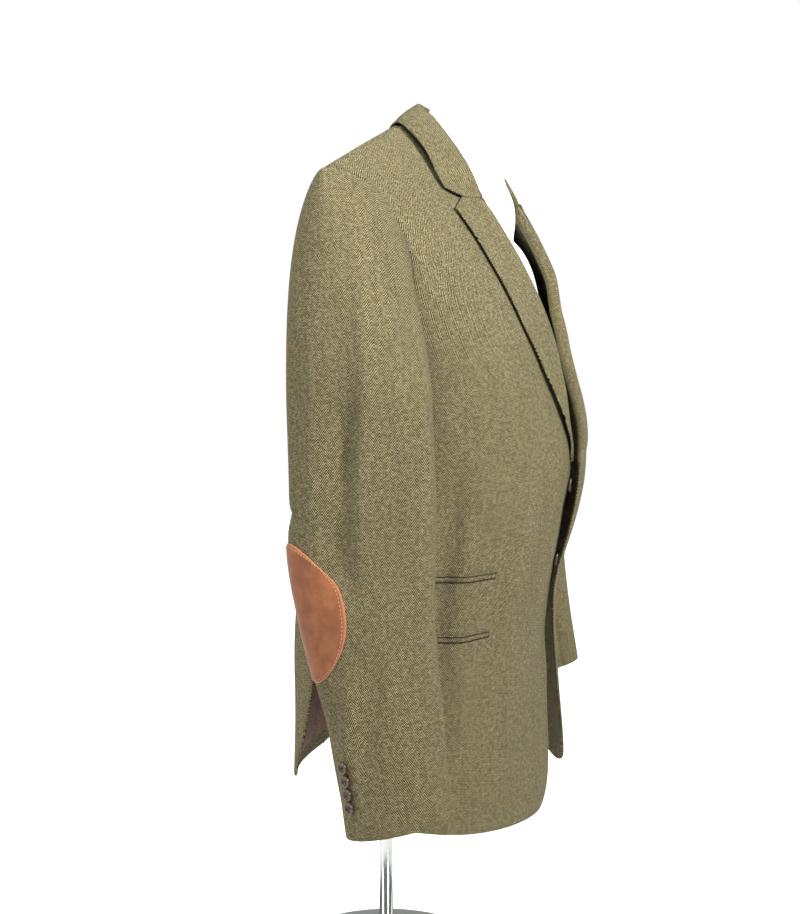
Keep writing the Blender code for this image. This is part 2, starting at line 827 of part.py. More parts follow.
def build_stand():
    """The collar stand, inside the fall, from its fold down to the neck seam."""
    rows = []
    for station in STATIONS:
        fold, edge = collar_curve(station * 0.97)
        inward = Vector((-fold.x, -0.095 - fold.y, 0)).normalized()
        drop = mix(0.018, 0.024, smooth(0, 0.7, abs(station)))
        drop = mix(drop, 0.010, smooth(0.75, 1.0, abs(station)))
        lean = mix(0.008, 0.0, smooth(0, 0.5, abs(station)))
        row = []
        for share in (0.0, 0.5, 1.0):
            point = fold + inward * (CLOTH + 0.0018 - lean * share)
            point += Vector((0, 0, -0.0035 - drop * share))
            row.append((point + Vector((0, 0, HEM)), inward))
        rows.append(row)
    cloth("collar_stand", rows, 0.0015, TWEED_DARK)


# ---------------------------------------------------------------- pockets and buttons

HIP_POCKET = 0.202     # height of the hip pockets
TICKET_POCKET = 0.267  # height of the ticket pocket
POCKET_FRONT = 0.150   # distance of every pocket's front end from the centre
JET_TALL = 0.0052


def strip(name, side, start, length, height, tall, lift, thickness, look, steps, proud=0.0):
    """A strip on the front, level with the hem, from a distance out from the centre."""
    first = angle_at(start, height / ARM)
    radius = 0.19
    sweep = math.degrees(length / radius)
    rows = []
    for down in (0.0, 0.5, 1.0) if tall > 0.02 else (0.0, 1.0):
        row = []
        for i in range(steps + 1):
            angle = first + sweep * i / steps
            level = (height - tall * down) / ARM
            away = proud * down * (1 - i / steps) ** 3
            row.append(body_point(angle, level, side, lift + away + lap(angle, level, side)))
        rows.append(row)
    cloth(name, rows, thickness, look)


def build_pockets():
    lift = PLY + 0.0016
    strip("ticket_pocket_jet.right", -1, POCKET_FRONT, 0.105, TICKET_POCKET, JET_TALL, lift,
          0.0012, TWEED, 6)
    strip("hip_pocket_jet.right", -1, POCKET_FRONT, 0.155, HIP_POCKET, JET_TALL, lift,
          0.0012, TWEED, 8)
    strip("hip_pocket_jet.left", 1, POCKET_FRONT, 0.155, HIP_POCKET, JET_TALL, lift,
          0.0012, TWEED, 8)
    strip("hip_pocket_flap.left", 1, POCKET_FRONT - 0.001, 0.152, HIP_POCKET - JET_TALL - 0.0005,
          0.052, lift + 0.0012, 0.0022, TWEED, 8, proud=0.012)


def button_mesh(radius, thickness):
    """A turned button: a flat back, a rounded rim and a dished face."""
    profile = ((0.0001, thickness * 0.72), (radius * 0.62, thickness * 0.72),
               (radius * 0.80, thickness), (radius * 0.95, thickness * 0.86),
               (radius, thickness * 0.5), (radius * 0.92, 0.0), (0.0001, 0.0))
    bm = bmesh.new()
    verts = [bm.verts.new((x, 0, z)) for x, z in profile]
    for a, b in zip(verts, verts[1:]):
        bm.edges.new((a, b))
    bmesh.ops.spin(bm, geom=bm.verts[:] + bm.edges[:], cent=(0, 0, 0), axis=(0, 0, 1),
                   angle=2 * math.pi, steps=14, use_merge=True)
    bmesh.ops.remove_doubles(bm, verts=bm.verts, dist=0.00025)
    bmesh.ops.recalc_face_normals(bm, faces=bm.faces)
    mesh = bpy.data.meshes.new("button")
    bm.to_mesh(mesh)
    bm.free()
    return mesh


CUFF_BUTTON = 0.0062   # radius
CUFF_PITCH = 0.0130
CUFF_LOWEST = 0.068    # height of the lowest cuff button
CUFF_TURN = 0.106      # turn of the row of cuff buttons
FRONT_BUTTON = 0.0100


def place_button(name, radius, thickness, point, normal):
    made = finish(name, button_mesh(radius, thickness), HORN)
    made.location = point + normal * 0.0006
    made.rotation_mode = "QUATERNION"
    made.rotation_quaternion = normal.to_track_quat("Z", "Y")


def build_buttons(word, side):
    for i in range(4):
        height = CUFF_LOWEST + CUFF_PITCH * i
        point, normal = sleeve_point(CUFF_TURN, sleeve_along(height), side, 0.0)
        place_button("cuff_button_%d.%s" % (i + 1, word), CUFF_BUTTON, 0.0028, point, normal)


def build_front_buttons():
    for i, height in enumerate((0.250, 0.345)):
        out = front_edge(height, -1) + 0.015
        level = level_at(out, height)
        point, normal = front_point(out, height, -1, lap(angle_at(out, level), level, -1))
        place_button("front_button_%d" % (i + 1), FRONT_BUTTON, 0.0034, point, normal)


# ---------------------------------------------------------------- form and stand


def ring_solid(name, table, steps, square):
    """A closed loft through level sections."""
    bm = bmesh.new()
    rings = []
    for row in table:
        height, centre, half_width, front, back = row
        ring = []
        for i in range(steps):
            turn = 2 * math.pi * i / steps
            depth = power(math.cos(turn), 2 / square)
            y = centre - (front if depth > 0 else back) * depth
            ring.append(bm.verts.new((half_width * power(math.sin(turn), 2 / square), y,
                                      height + HEM)))
        rings.append(ring)
    for low, high in zip(rings, rings[1:]):
        for i in range(steps):
            j = (i + 1) % steps
            bm.faces.new((low[i], low[j], high[j], high[i]))
    bm.faces.new(rings[0])
    bm.faces.new(rings[-1])
    bmesh.ops.recalc_face_normals(bm, faces=bm.faces)
    mesh = bpy.data.meshes.new(name)
    bm.to_mesh(mesh)
    bm.free()
    return mesh


def build_form():
    torso = finish("form", ring_solid("form", FORM, 40, 2.0), FORM_WHITE)
    neck = bpy.data.objects.new("form_neck_cutter", ring_solid("neck", NECK, 32, 2.0))
    cutters.objects.link(neck)
    neck.hide_render = True
    neck.display_type = "WIRE"
    union = torso.modifiers.new("neck", "BOOLEAN")
    union.operation = "UNION"
    union.object = neck


def turned(name, profile, steps, look):
    """A turned solid: its profile runs down at +X and is closed at the axis."""
    mesh = bpy.data.meshes.new(name)
    mesh.from_pydata([(x, 0, z) for x, z in profile],
                     [(i, i + 1) for i in range(len(profile) - 1)], [])
    made = finish(name, mesh, look)
    screw = made.modifiers.new("turn", "SCREW")
    screw.axis = "Z"
    screw.steps = steps
    screw.render_steps = steps
    screw.use_merge_vertices = True
    screw.merge_threshold = 0.00005
    return made


def build_stand_pieces():
    top = HEM + FORM[0][0] - 0.0004
    turned("pole", ((0.0, top), (POLE_RADIUS, top), (POLE_RADIUS, BASE_CROWN + 0.0004),
                    (0.0, BASE_CROWN + 0.0004)), 24, CHROME)
    turned("base", ((0.0, BASE_CROWN), (0.030, BASE_CROWN), (0.036, BASE_CROWN - 0.004),
                    (0.080, BASE_EDGE + 0.005), (BASE_RADIUS - 0.004, BASE_EDGE),
                    (BASE_RADIUS, BASE_EDGE - 0.003), (BASE_RADIUS, 0.0), (0.0, 0.0)), 48, CHROME)


# ---------------------------------------------------------------- the whole object


def main():
    global parts, cutters
    for old in list(bpy.data.objects):
        bpy.data.objects.remove(old, do_unlink=True)
    parts = bpy.data.collections.new("hacking_jacket_on_dress_form")
    cutters = bpy.data.collections.new("cutters")
    bpy.context.scene.collection.children.link(parts)
    bpy.context.scene.collection.children.link(cutters)
    for word, side in SIDES:
        build_front(word, side)
        build_facing(word, side)
        build_front_lining(word, side)
        build_side(word, side)
        build_back(word, side)
        build_sleeve(word, side)
        build_patch(word, side)
        build_lapel(word, side)
        build_buttons(word, side)
    build_back_lining()
    build_collar()
    build_stand()
    build_pockets()
    build_front_buttons()
    build_form()
    build_stand_pieces()


main()
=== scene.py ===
import functools
import math

import bmesh
import bpy
import numpy as np
from bpy.props import FloatProperty, FloatVectorProperty, IntProperty, PointerProperty
from bpy.types import Operator, Panel, PropertyGroup
from mathutils import Matrix, Vector


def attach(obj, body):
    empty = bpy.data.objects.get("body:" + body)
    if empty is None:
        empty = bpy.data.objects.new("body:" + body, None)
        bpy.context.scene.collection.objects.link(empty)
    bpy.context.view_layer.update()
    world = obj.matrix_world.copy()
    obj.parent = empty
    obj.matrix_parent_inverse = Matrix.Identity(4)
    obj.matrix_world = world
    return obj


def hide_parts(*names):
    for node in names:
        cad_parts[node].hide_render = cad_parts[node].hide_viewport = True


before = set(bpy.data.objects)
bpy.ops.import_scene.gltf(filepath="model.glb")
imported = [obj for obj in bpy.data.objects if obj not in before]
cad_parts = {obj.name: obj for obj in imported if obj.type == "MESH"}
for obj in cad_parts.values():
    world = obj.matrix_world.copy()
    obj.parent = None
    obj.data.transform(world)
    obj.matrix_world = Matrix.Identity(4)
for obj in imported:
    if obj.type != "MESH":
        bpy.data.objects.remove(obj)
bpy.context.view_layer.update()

bl_info = {
    "name": "Tweed hacking jacket",
    "version": (1, 0, 0),
    "blender": (4, 5, 0),
    "location": "3D View > Sidebar > Jacket",
    "description": "Makes a hacking jacket in herringbone tweed on a dress form",
    "category": "Add Mesh",
}

# Metres, +Z up. The jacket faces -Y, so its wearer's right side is -X. Heights in the
# tables are measured up from the jacket's hem.

SIDES = (("right", -1), ("left", 1))

# ---- sizes shared with the solids

HEM = 0.300            # height of the jacket's hem above the floor
ARM = 0.490            # height of the underarm above the hem
FLOOR_TO_HEM = Vector((0, 0, HEM))
CLOTH = 0.0020         # wall of a tweed panel
FACING = 0.0014        # wall of the facing inside each front
LINING = 0.0010        # wall of the lining
PLY = 0.0004           # gap between two layers that lie on each other
EASE = 0.0010          # gap between the lining and its panel

RIDGE_TOP = 0.790      # height that the two shoulder lines would reach at the centre
RIDGE_SLOPE = 0.40     # drop of a shoulder line for each metre out
RIDGE_BACK = -0.057    # front-to-back place of the shoulder lines at the centre
RIDGE_SWING = 0.157    # how far they swing back for each metre out
YOKE_WIDTH = 0.247     # half width that the shoulders would have with no armhole

BREAK = 0.375          # height at which the lapels start to fold
GORGE = 0.672          # height of the gorge seam on the roll line
ROLL_WIDTH = 0.071     # half width of the neck opening at the gorge
CORNER = 0.066         # radius of the rounded front corners
ROUND_TOP = 0.120      # height below which the rows of a front follow its corner
RIGHT_FLARE = 0.010    # how far the right front swings out at its hem
TURNED_IN = 0.006      # how far its edge turns in under the left one
LEFT_FLARE = 0.025     # how far the left front swings out at its hem
LEFT_WAIST = 0.013     # the same at the waist
LEFT_CHEST = 0.008     # the same at the chest
VENT = 0.240           # length of each side vent
HEM_TURN = 0.018       # height of the tweed turned up inside the hem
LINED_FROM = 0.360     # weave height from which a panel's inner face is lined
LINING_TOP = 0.300     # the separate lining is made up to this height

FRONT_PLUMB = 44       # angle of the front's plumb line, which its weave keeps to
SIDE_PLUMB = 96        # and of the side panel's
FRONT_SEAM = 76.0      # place of the seam between front and side, in degrees
CENTRE_BACK = 180
BACK_SEAM = 116.0      # place of the seam between side and back

# Sections of the body up to the underarm.
BODY = (
    # height, centre_y, half_width, front_depth, back_depth
    (0.000, -0.052, 0.225, 0.145, 0.139),
    (0.100, -0.054, 0.222, 0.144, 0.138),
    (0.200, -0.060, 0.213, 0.145, 0.143),
    (0.300, -0.072, 0.201, 0.152, 0.142),
    (0.380, -0.078, 0.197, 0.154, 0.138),
    (0.440, -0.074, 0.202, 0.150, 0.136),
    (0.490, -0.070, 0.208, 0.146, 0.134),
)
SQUARENESS = 2.3       # of a section: 2 is an ellipse
CHEST_FALL = 1.45      # roundness of the chest up to the shoulder line
BACK_FALL = 1.7        # roundness of the upper back

# The armhole seam, from the shoulder point down to the underarm.
ARMHOLE = (
    # turn, level, front_angle, back_angle
    (0.00, 1.000, 70.0, 110.0),
    (0.15, 0.955, 61.0, 114.0),
    (0.30, 0.840, 55.0, 118.0),
    (0.50, 0.600, 59.0, 120.0),
    (0.70, 0.330, 69.0, 118.0),
    (0.85, 0.120, 79.0, 110.0),
    (1.00, 0.000, 92.0, 92.0),
)

# The free edge of each front, out from the centre line; plus is towards its own side.
FRONT_EDGE = (
    # height, right, left
    (-0.050, -0.018, 0.060),
    (0.020, -0.018, 0.057),
    (0.100, -0.024, 0.048),
    (0.150, -0.034, 0.042),
    (0.200, -0.042, 0.034),
    (0.240, -0.045, 0.025),
    (0.280, -0.041, 0.013),
    (0.340, -0.024, -0.002),
    (0.375, -0.006, -0.006),
)

# The hem, which hangs lowest at the fronts.
HEMLINE = (
    # angle, height
    (-8.0, -0.044),
    (20.0, -0.032),
    (40.0, -0.022),
    (64.0, -0.008),
    (76.0, -0.003),
    (100.0, 0.008),
    (118.0, 0.016),
    (138.0, 0.016),
    (160.0, 0.003),
    (180.0, -0.004),
)

# The sleeve below its head, as rings about the arm's line.
SLEEVE = (
    # height, centre_x, centre_y, half_thickness, half_width, front_rise
    (0.455, 0.262, -0.066, 0.047, 0.077, 0.000),
    (0.360, 0.266, -0.071, 0.045, 0.078, 0.000),
    (0.300, 0.270, -0.072, 0.044, 0.078, 0.002),
    (0.240, 0.274, -0.080, 0.043, 0.072, 0.006),
    (0.190, 0.277, -0.089, 0.042, 0.065, 0.010),
    (0.120, 0.281, -0.104, 0.040, 0.057, 0.014),
    (0.036, 0.285, -0.118, 0.038, 0.0555, 0.017),
)
LEFT_FORWARD = 0.014   # the left cuff hangs this much further forward

# The collar, from the centre back round to the gorge.
COLLAR = (
    # station, fold_x, fold_y, fold_z, edge_x, edge_y, edge_z
    (0.00, 0.000, -0.041, 0.799, 0.000, -0.014, 0.766),
    (0.20, 0.034, -0.052, 0.792, 0.048, -0.022, 0.765),
    (0.40, 0.058, -0.078, 0.774, 0.084, -0.048, 0.766),
    (0.60, 0.069, -0.104, 0.746, 0.107, -0.084, 0.735),
    (0.80, 0.072, -0.128, 0.712, 0.118, -0.104, 0.703),
    (1.00, 0.071, -0.146, 0.679, 0.119, -0.114, 0.687),
)
LEFT_PROUD = 0.007     # the collar's left end stands this much further forward

# The dress form, smooth and whole, well inside the cloth.
FORM = (
    # height, centre_y, half_width, front_depth, back_depth
    (0.200, -0.066, 0.160, 0.112, 0.112),
    (0.300, -0.074, 0.157, 0.114, 0.108),
    (0.380, -0.078, 0.160, 0.118, 0.108),
    (0.460, -0.074, 0.176, 0.121, 0.112),
    (0.540, -0.070, 0.184, 0.119, 0.110),
    (0.590, -0.067, 0.185, 0.112, 0.102),
    (0.622, -0.063, 0.181, 0.101, 0.094),
    (0.645, -0.060, 0.176, 0.082, 0.084),
    (0.668, -0.056, 0.162, 0.070, 0.072),
    (0.690, -0.052, 0.142, 0.057, 0.058),
    (0.710, -0.050, 0.116, 0.044, 0.044),
    (0.724, -0.050, 0.088, 0.032, 0.032),
)
NECK = (
    # height, centre_y, half_width, front_depth, back_depth
    (0.630, -0.088, 0.064, 0.070, 0.050),
    (0.659, -0.088, 0.062, 0.074, 0.050),
    (0.680, -0.090, 0.058, 0.069, 0.046),
    (0.709, -0.092, 0.054, 0.055, 0.042),
    (0.775, -0.095, 0.049, 0.050, 0.040),
    (0.792, -0.096, 0.045, 0.046, 0.037),
)

POLE_RADIUS = 0.0088
BASE_RADIUS = 0.165
BASE_EDGE = 0.008
BASE_CROWN = 0.022

# Outer edge of the lapel, out from the centre line, against its height.
LAPEL_EDGE = (
    # height, out
    (0.372, 0.002),
    (0.380, 0.008),
    (0.400, 0.016),
    (0.440, 0.041),
    (0.470, 0.063),
    (0.500, 0.081),
    (0.530, 0.095),
    (0.560, 0.103),
    (0.600, 0.112),
    (0.640, 0.118),
    (0.662, 0.122),
)
ROLL_OUT = 0.0055      # the fold's outer face lies this much further out than the roll line
NOTCH = (0.099, 0.676)     # inner point of the notch: out from the centre, and height
LAPEL_LIFT = 0.0050    # height of the lapel's outer face over the front, at its edge
LAPEL_ROLL = 0.0100    # the same at the roll line, where it is softest
LAPEL_FOOT = 0.0030    # the same at the break

HIP_POCKET = 0.202     # height of the hip pockets
TICKET_POCKET = 0.267  # height of the ticket pocket
POCKET_FRONT = 0.150   # distance of every pocket's front end from the centre
JET_TALL = 0.0052
POCKET_RADIUS = 0.19   # of the body where the pockets lie
TICKET_LONG = 0.105
HIP_LONG = 0.155
FLAP_TALL = 0.052

PATCH_HEIGHT = 0.250   # height of the elbow patch's centre
PATCH_TURN = 0.165     # its turn, outside and behind
PATCH_HALF_TALL = 0.065
PATCH_HALF_TURN = 0.155
PATCH_STITCHES = 200   # points of the stitches' path round a patch

CUFF_BUTTON = 0.0062   # radius
CUFF_PITCH = 0.0130
CUFF_LOWEST = 0.068    # height of the lowest cuff button
CUFF_TURN = 0.106      # turn of the row of cuff buttons
FRONT_BUTTON = 0.0100
FRONT_BUTTONS = (0.250, 0.345)     # heights of the front buttons

# ---- drape

# Creases of the body: side (0 is both), depth (minus is a trough), width, then
# (angle, height) stations.
BODY_CREASES = (
    (-1, 0.0036, 0.016, ((60, 0.34), (57, 0.25), (52, 0.14), (49, 0.02))),
    (-1, -0.0042, 0.014, ((66, 0.42), (67, 0.33), (64, 0.20), (60, 0.10))),
    (-1, -0.0019, 0.010, ((22, 0.385), (36, 0.37), (52, 0.39), (64, 0.44))),
    (-1, 0.0023, 0.020, ((30, 0.30), (33, 0.18), (30, 0.04))),
    (-1, 0.0010, 0.0022, ((49.4, 0.196), (49.6, 0.150), (50.5, 0.147), (70, 0.147))),
    (-1, -0.0036, 0.012, ((40, 0.63), (50, 0.60), (58, 0.57))),
    (1, 0.0042, 0.017, ((58, 0.36), (54, 0.24), (50, 0.12), (46, 0.00))),
    (1, -0.0049, 0.013, ((66, 0.43), (65, 0.30), (66, 0.18), (64, 0.06))),
    (1, -0.0029, 0.010, ((14, 0.36), (30, 0.345), (48, 0.37), (62, 0.43))),
    (1, 0.0026, 0.018, ((30, 0.28), (28, 0.16), (31, 0.02))),
    (1, -0.0032, 0.012, ((40, 0.64), (49, 0.61), (57, 0.57))),
    (0, -0.0049, 0.011, ((86, 0.45), (92, 0.36), (95, 0.26), (92, 0.12))),
    (0, 0.0042, 0.014, ((104, 0.44), (106, 0.33), (104, 0.20), (101, 0.06))),
    (-1, -0.0055, 0.014, ((128, 0.56), (131, 0.44), (129, 0.32), (133, 0.22))),
    (1, -0.0049, 0.015, ((129, 0.58), (127, 0.45), (131, 0.33), (128, 0.21))),
    (-1, 0.0049, 0.018, ((141, 0.54), (144, 0.40), (142, 0.24), (146, 0.06))),
    (1, 0.0042, 0.019, ((143, 0.55), (140, 0.41), (145, 0.26), (142, 0.05))),
    (-1, -0.0042, 0.013, ((158, 0.30), (155, 0.20), (157, 0.08), (155, -0.02))),
    (1, -0.0038, 0.014, ((156, 0.28), (159, 0.17), (156, 0.06), (158, -0.02))),
    (0, -0.0036, 0.010, ((180, 0.352), (166, 0.346), (150, 0.358), (134, 0.372))),
    (0, 0.0029, 0.012, ((180, 0.385), (164, 0.380), (146, 0.394))),
    (-1, -0.0032, 0.009, ((178, 0.735), (166, 0.722), (152, 0.724))),
    (1, -0.0029, 0.010, ((180, 0.728), (164, 0.716), (148, 0.722))),
)

# Creases of the sleeves, in the same way, with (turn, height) stations.
SLEEVE_CREASES = (
    (-1, -0.0095, 0.0150, ((-0.010, 0.475), (-0.004, 0.430), (0.006, 0.378), (0.012, 0.329),
                           (0.012, 0.287), (0.014, 0.250))),
    (-1, 0.0059, 0.0090, ((-0.090, 0.606), (-0.060, 0.524), (-0.046, 0.460), (-0.034, 0.399),
                          (-0.026, 0.343), (-0.024, 0.296))),
    (-1, 0.0036, 0.0110, ((0.060, 0.520), (0.066, 0.440), (0.074, 0.370), (0.080, 0.320))),
    (-1, -0.0046, 0.0110, ((-0.128, 0.470), (-0.116, 0.400), (-0.112, 0.340), (-0.118, 0.285),
                           (-0.130, 0.243), (-0.130, 0.200))),
    (-1, 0.0038, 0.0110, ((-0.220, 0.560), (-0.205, 0.460), (-0.200, 0.380), (-0.190, 0.300))),
    (-1, -0.0032, 0.0060, ((0.056, 0.546), (0.010, 0.553), (-0.036, 0.560))),
    (-1, 0.0049, 0.0080, ((0.010, 0.205), (0.038, 0.168), (0.070, 0.135), (0.105, 0.100))),
    (-1, -0.0042, 0.0100, ((-0.040, 0.216), (-0.020, 0.170), (0.014, 0.126), (0.040, 0.080))),
    (-1, -0.0049, 0.0080, ((0.250, 0.350), (0.180, 0.338), (0.110, 0.344))),
    (-1, -0.0059, 0.0090, ((0.560, 0.300), (0.660, 0.276), (0.740, 0.262))),
    (-1, -0.0052, 0.0080, ((0.600, 0.246), (0.680, 0.232), (0.750, 0.226))),
    (-1, 0.0038, 0.0090, ((0.780, 0.220), (0.760, 0.150), (0.770, 0.080))),
    (1, -0.0074, 0.0090, ((0.000, 0.480), (0.006, 0.420), (-0.004, 0.360), (0.006, 0.300),
                          (0.004, 0.262))),
    (1, 0.0055, 0.0100, ((-0.080, 0.596), (-0.056, 0.510), (-0.050, 0.440), (-0.042, 0.372),
                         (-0.036, 0.310))),
    (1, 0.0038, 0.0110, ((0.066, 0.510), (0.078, 0.430), (0.070, 0.360), (0.078, 0.318))),
    (1, -0.0049, 0.0100, ((-0.120, 0.460), (-0.126, 0.380), (-0.116, 0.310), (-0.126, 0.230))),
    (1, 0.0038, 0.0100, ((-0.210, 0.550), (-0.196, 0.440), (-0.204, 0.330))),
    (1, -0.0036, 0.0070, ((0.060, 0.556), (0.016, 0.550), (-0.030, 0.562))),
    (1, 0.0046, 0.0090, ((0.016, 0.200), (0.030, 0.160), (0.064, 0.120), (0.090, 0.088))),
    (1, -0.0038, 0.0100, ((-0.050, 0.206), (-0.024, 0.150), (0.000, 0.096))),
    (1, -0.0049, 0.0080, ((0.256, 0.346), (0.190, 0.352), (0.120, 0.340))),
    (1, -0.0055, 0.0090, ((0.560, 0.292), (0.650, 0.282), (0.740, 0.254))),
    (1, -0.0049, 0.0080, ((0.590, 0.240), (0.670, 0.238), (0.750, 0.216))),
)

# ---- settings


def measure(name, note, default, low, high, **kind):
    """A size, in metres unless another kind is given."""
    kind = kind or {"unit": "LENGTH"}
    return FloatProperty(name=name, description=note, default=default, min=low, max=high, **kind)


def tint(name, note, colour):
    return FloatVectorProperty(name=name, description=note, default=colour, size=3,
                               subtype="COLOR")


class JacketCloth(PropertyGroup):
    """Sizes of the cloth and its making."""

    cell: measure("Cell", "Size of a cloth's mesh cells", 0.0050, 0.002, 0.02)
    seam_gap: measure("Seam gap", "Gap between two sewn edges", 0.00012, 0.0, 0.001)
    seam_dip: measure("Seam dip", "Depth of a seam's groove", 0.0010, 0.0, 0.003)
    seam_reach: measure("Seam reach", "Half width of a seam's groove", 0.0026, 0.001, 0.01)
    stitch: measure("Stitch", "Length of a hand stitch", 0.0026, 0.001, 0.01)
    thread: measure("Thread", "Radius of the sewing thread", 0.00034, 0.0001, 0.001)
    seed: IntProperty(name="Seed", description="Seed of the stitches' unevenness",
                      default=7, min=0)


class JacketColours(PropertyGroup):
    """Colours and weave of the jacket."""

    straw: tint("Straw yarn", "The light yarn", (0.268, 0.230, 0.124))
    moss: tint("Moss yarn", "The light yarn's other shade", (0.164, 0.146, 0.072))
    peat: tint("Peat yarn", "The dark yarn", (0.0095, 0.0080, 0.0040))
    rust: tint("Rust fleck", "The stray rust fibres", (0.130, 0.073, 0.028))
    russet: tint("Russet haze", "Patches of warmer yarn", (0.150, 0.098, 0.040))
    slate: tint("Slate haze", "Patches of cooler yarn", (0.098, 0.100, 0.080))
    column: measure("Herringbone", "Width of a pair of columns", 0.0116, 0.004, 0.05)
    pitch: measure("Twill", "Distance between two twill lines", 0.0030, 0.001, 0.02)
    suede: tint("Suede", "The elbow patches", (0.178, 0.065, 0.0270))
    satin: tint("Satin", "The lining", (0.085, 0.026, 0.006))
    horn: tint("Horn", "The buttons", (0.017, 0.0095, 0.0062))


class JacketStage(PropertyGroup):
    """The floor, the light and the camera."""

    daylight: measure("Daylight", "Strength of the background behind the jacket",
                      1.0, 0.0, 10.0, subtype="FACTOR")
    ambient: measure("Ambient", "Strength of the light from all round",
                     0.46, 0.0, 10.0, subtype="FACTOR")
    glow: measure("Floor glow", "The floor's own brightness", 0.66, 0.0, 2.0, subtype="FACTOR")
    key: measure("Key light", "Power of the large soft light", 26.0, 0.0, 1000.0, unit="POWER")
    fill: measure("Fill light", "Power of the light from behind", 48.0, 0.0, 1000.0, unit="POWER")
    camera: FloatVectorProperty(name="Camera", description="Place of the camera",
                                default=(-1.4095, -0.5130, 0.856), size=3,
                                subtype="TRANSLATION", unit="LENGTH")
    heading: FloatProperty(name="Heading", description="Turn of the camera from looking along +Y",
                           default=math.radians(-70.67), subtype="ANGLE", unit="ROTATION")
    pitch: FloatProperty(name="Pitch", description="How far the camera looks down",
                         default=math.radians(3.68), subtype="ANGLE", unit="ROTATION")
    lens: measure("Lens", "Focal length in millimetres", 47.8, 10.0, 200.0, unit="CAMERA")
    drop: measure("Lens drop", "How far the lens is shifted down", -0.080, -0.5, 0.5,
                  subtype="FACTOR")


def settings():
    """The sizes of the cloth."""
    return bpy.context.scene.jacket_cloth


# ---- numbers


def track(table, at):
    """The other columns of a table at a value of its first one, on a smooth curve."""
    last = len(table) - 1
    at = min(max(at, table[0][0]), table[last][0])
    i = 0
    while i < last - 1 and at > table[i + 1][0]:
        i += 1
    low, high = table[i], table[i + 1]
    before, after = table[max(i - 1, 0)], table[min(i + 2, last)]
    span = high[0] - low[0]
    t = (at - low[0]) / span
    out = []
    for c in range(1, len(low)):
        step = (high[c] - low[c]) / span
        start = (high[c] - before[c]) / (high[0] - before[0]) if i > 0 else step
        end = (after[c] - low[c]) / (after[0] - low[0]) if i < last - 1 else step
        out.append((2 * t**3 - 3 * t**2 + 1) * low[c] + (t**3 - 2 * t**2 + t) * span * start
                   + (3 * t**2 - 2 * t**3) * high[c] + (t**3 - t**2) * span * end)
    return out


def mix(a, b, t):
    return a + (b - a) * t


def smooth(low, high, value):
    """0 below low, 1 above high, and a soft step between them."""
    t = min(max((value - low) / (high - low), 0.0), 1.0)
    return t * t * (3 - 2 * t)


def soft(low, high, values):
    """The same soft step for an array."""
    t = np.clip((values - low) / (high - low), 0.0, 1.0)
    return t * t * (3 - 2 * t)


def power(value, exponent):
    """A power that keeps its sign."""
    return math.copysign(abs(value) ** exponent, value)


def spread(length, cell, fine_start, fine_end):
    """Shares from 0 to 1 along a length, a cell apart, and closer at an end that asks for it."""
    marks = (0.0006, 0.0013, 0.0021, 0.0032, 0.0048)
    low = list(marks) if fine_start else []
    high = [length - mark for mark in reversed(marks)] if fine_end else []
    start, end = (low[-1] if low else 0.0), (high[0] if high else length)
    count = max(int(math.ceil((end - start) / cell)), 2)
    middle = [mix(start, end, i / count) for i in range(1, count)]
    return [place / length for place in [0.0] + low + middle + high + [length]]


# ---- the body's surface


def ridge_z(x):
    return RIDGE_TOP - RIDGE_SLOPE * (math.sqrt(x * x + 1e-4) - 0.01)


def ridge_y(x):
    return RIDGE_BACK + RIDGE_SWING * math.sqrt(x * x + 1e-4)


@functools.cache
def section(level):
    """Half width, front depth, back depth and squareness of the body at a level.

    A level of 0 to 1 runs from the hem to the underarm, and 1 to 2 from there to
    the shoulder lines, where front and back meet.
    """
    rise = min(max(level - 1.0, 0.0), 1.0)
    centre, half_width, front, back = track(BODY, min(level, 1.0) * ARM)
    if rise > 0.0:
        half_width = mix(half_width, YOKE_WIDTH, rise)
        front *= max(1 - rise**CHEST_FALL, 0.0) ** (1 / CHEST_FALL)
        back *= max(1 - rise**BACK_FALL, 0.0) ** (1 / BACK_FALL)
    return centre, half_width, front, back, mix(SQUARENESS, 2.6, rise), rise


def skin(angle, level):
    """A point of the body's outer face on the +X half; angle 0 is the centre front."""
    centre, half_width, front, back, square, rise = section(level)
    turn = math.radians(angle)
    x = half_width * power(math.sin(turn), 2 / square)
    depth = power(math.cos(turn), 2 / square)
    y = mix(centre, ridge_y(x), rise) - (front if depth > 0 else back) * depth
    z = mix(ARM, ridge_z(x), rise) if rise > 0.0 else level * ARM
    return Vector((x, y, z))


def skin_normal(angle, level):
    """The outward normal of the body there."""
    if level > 1.999:
        along = Vector((1, RIDGE_SWING, -RIDGE_SLOPE)).normalized()
        return (Vector((0, 0, 1)) - along * along.z).normalized()
    step = 0.0005
    around = skin(angle + 0.2, level) - skin(angle - 0.2, level)
    up = skin(angle, level + step) - skin(angle, level - step)
    return around.cross(up).normalized()


def body_point(angle, level, side, lift=0.0):
    """A point at a height over the body, with its normal, on one side of it."""
    normal = skin_normal(angle, level)
    point = skin(angle, level) + normal * lift
    flip = Vector((side, 1, 1))
    return point * flip + FLOOR_TO_HEM, normal * flip


def angle_at(x, level):
    """The front angle at which the body is x out from its centre line."""
    half_width, square = section(level)[1], section(level)[4]
    return math.degrees(math.asin(power(max(min(x / half_width, 1.0), -1.0), square / 2)))


def level_at(x, height):
    """The level at which the body is at a height, x out from its centre line."""
    if height <= ARM:
        return height / ARM
    return 1.0 + (height - ARM) / (ridge_z(x) - ARM)


def halving(short_of, low=0.0, high=1.0):
    """The place between two others at which a test stops being true."""
    for _ in range(30):
        middle = (low + high) / 2
        low, high = (middle, high) if short_of(middle) else (low, middle)
    return (low + high) / 2


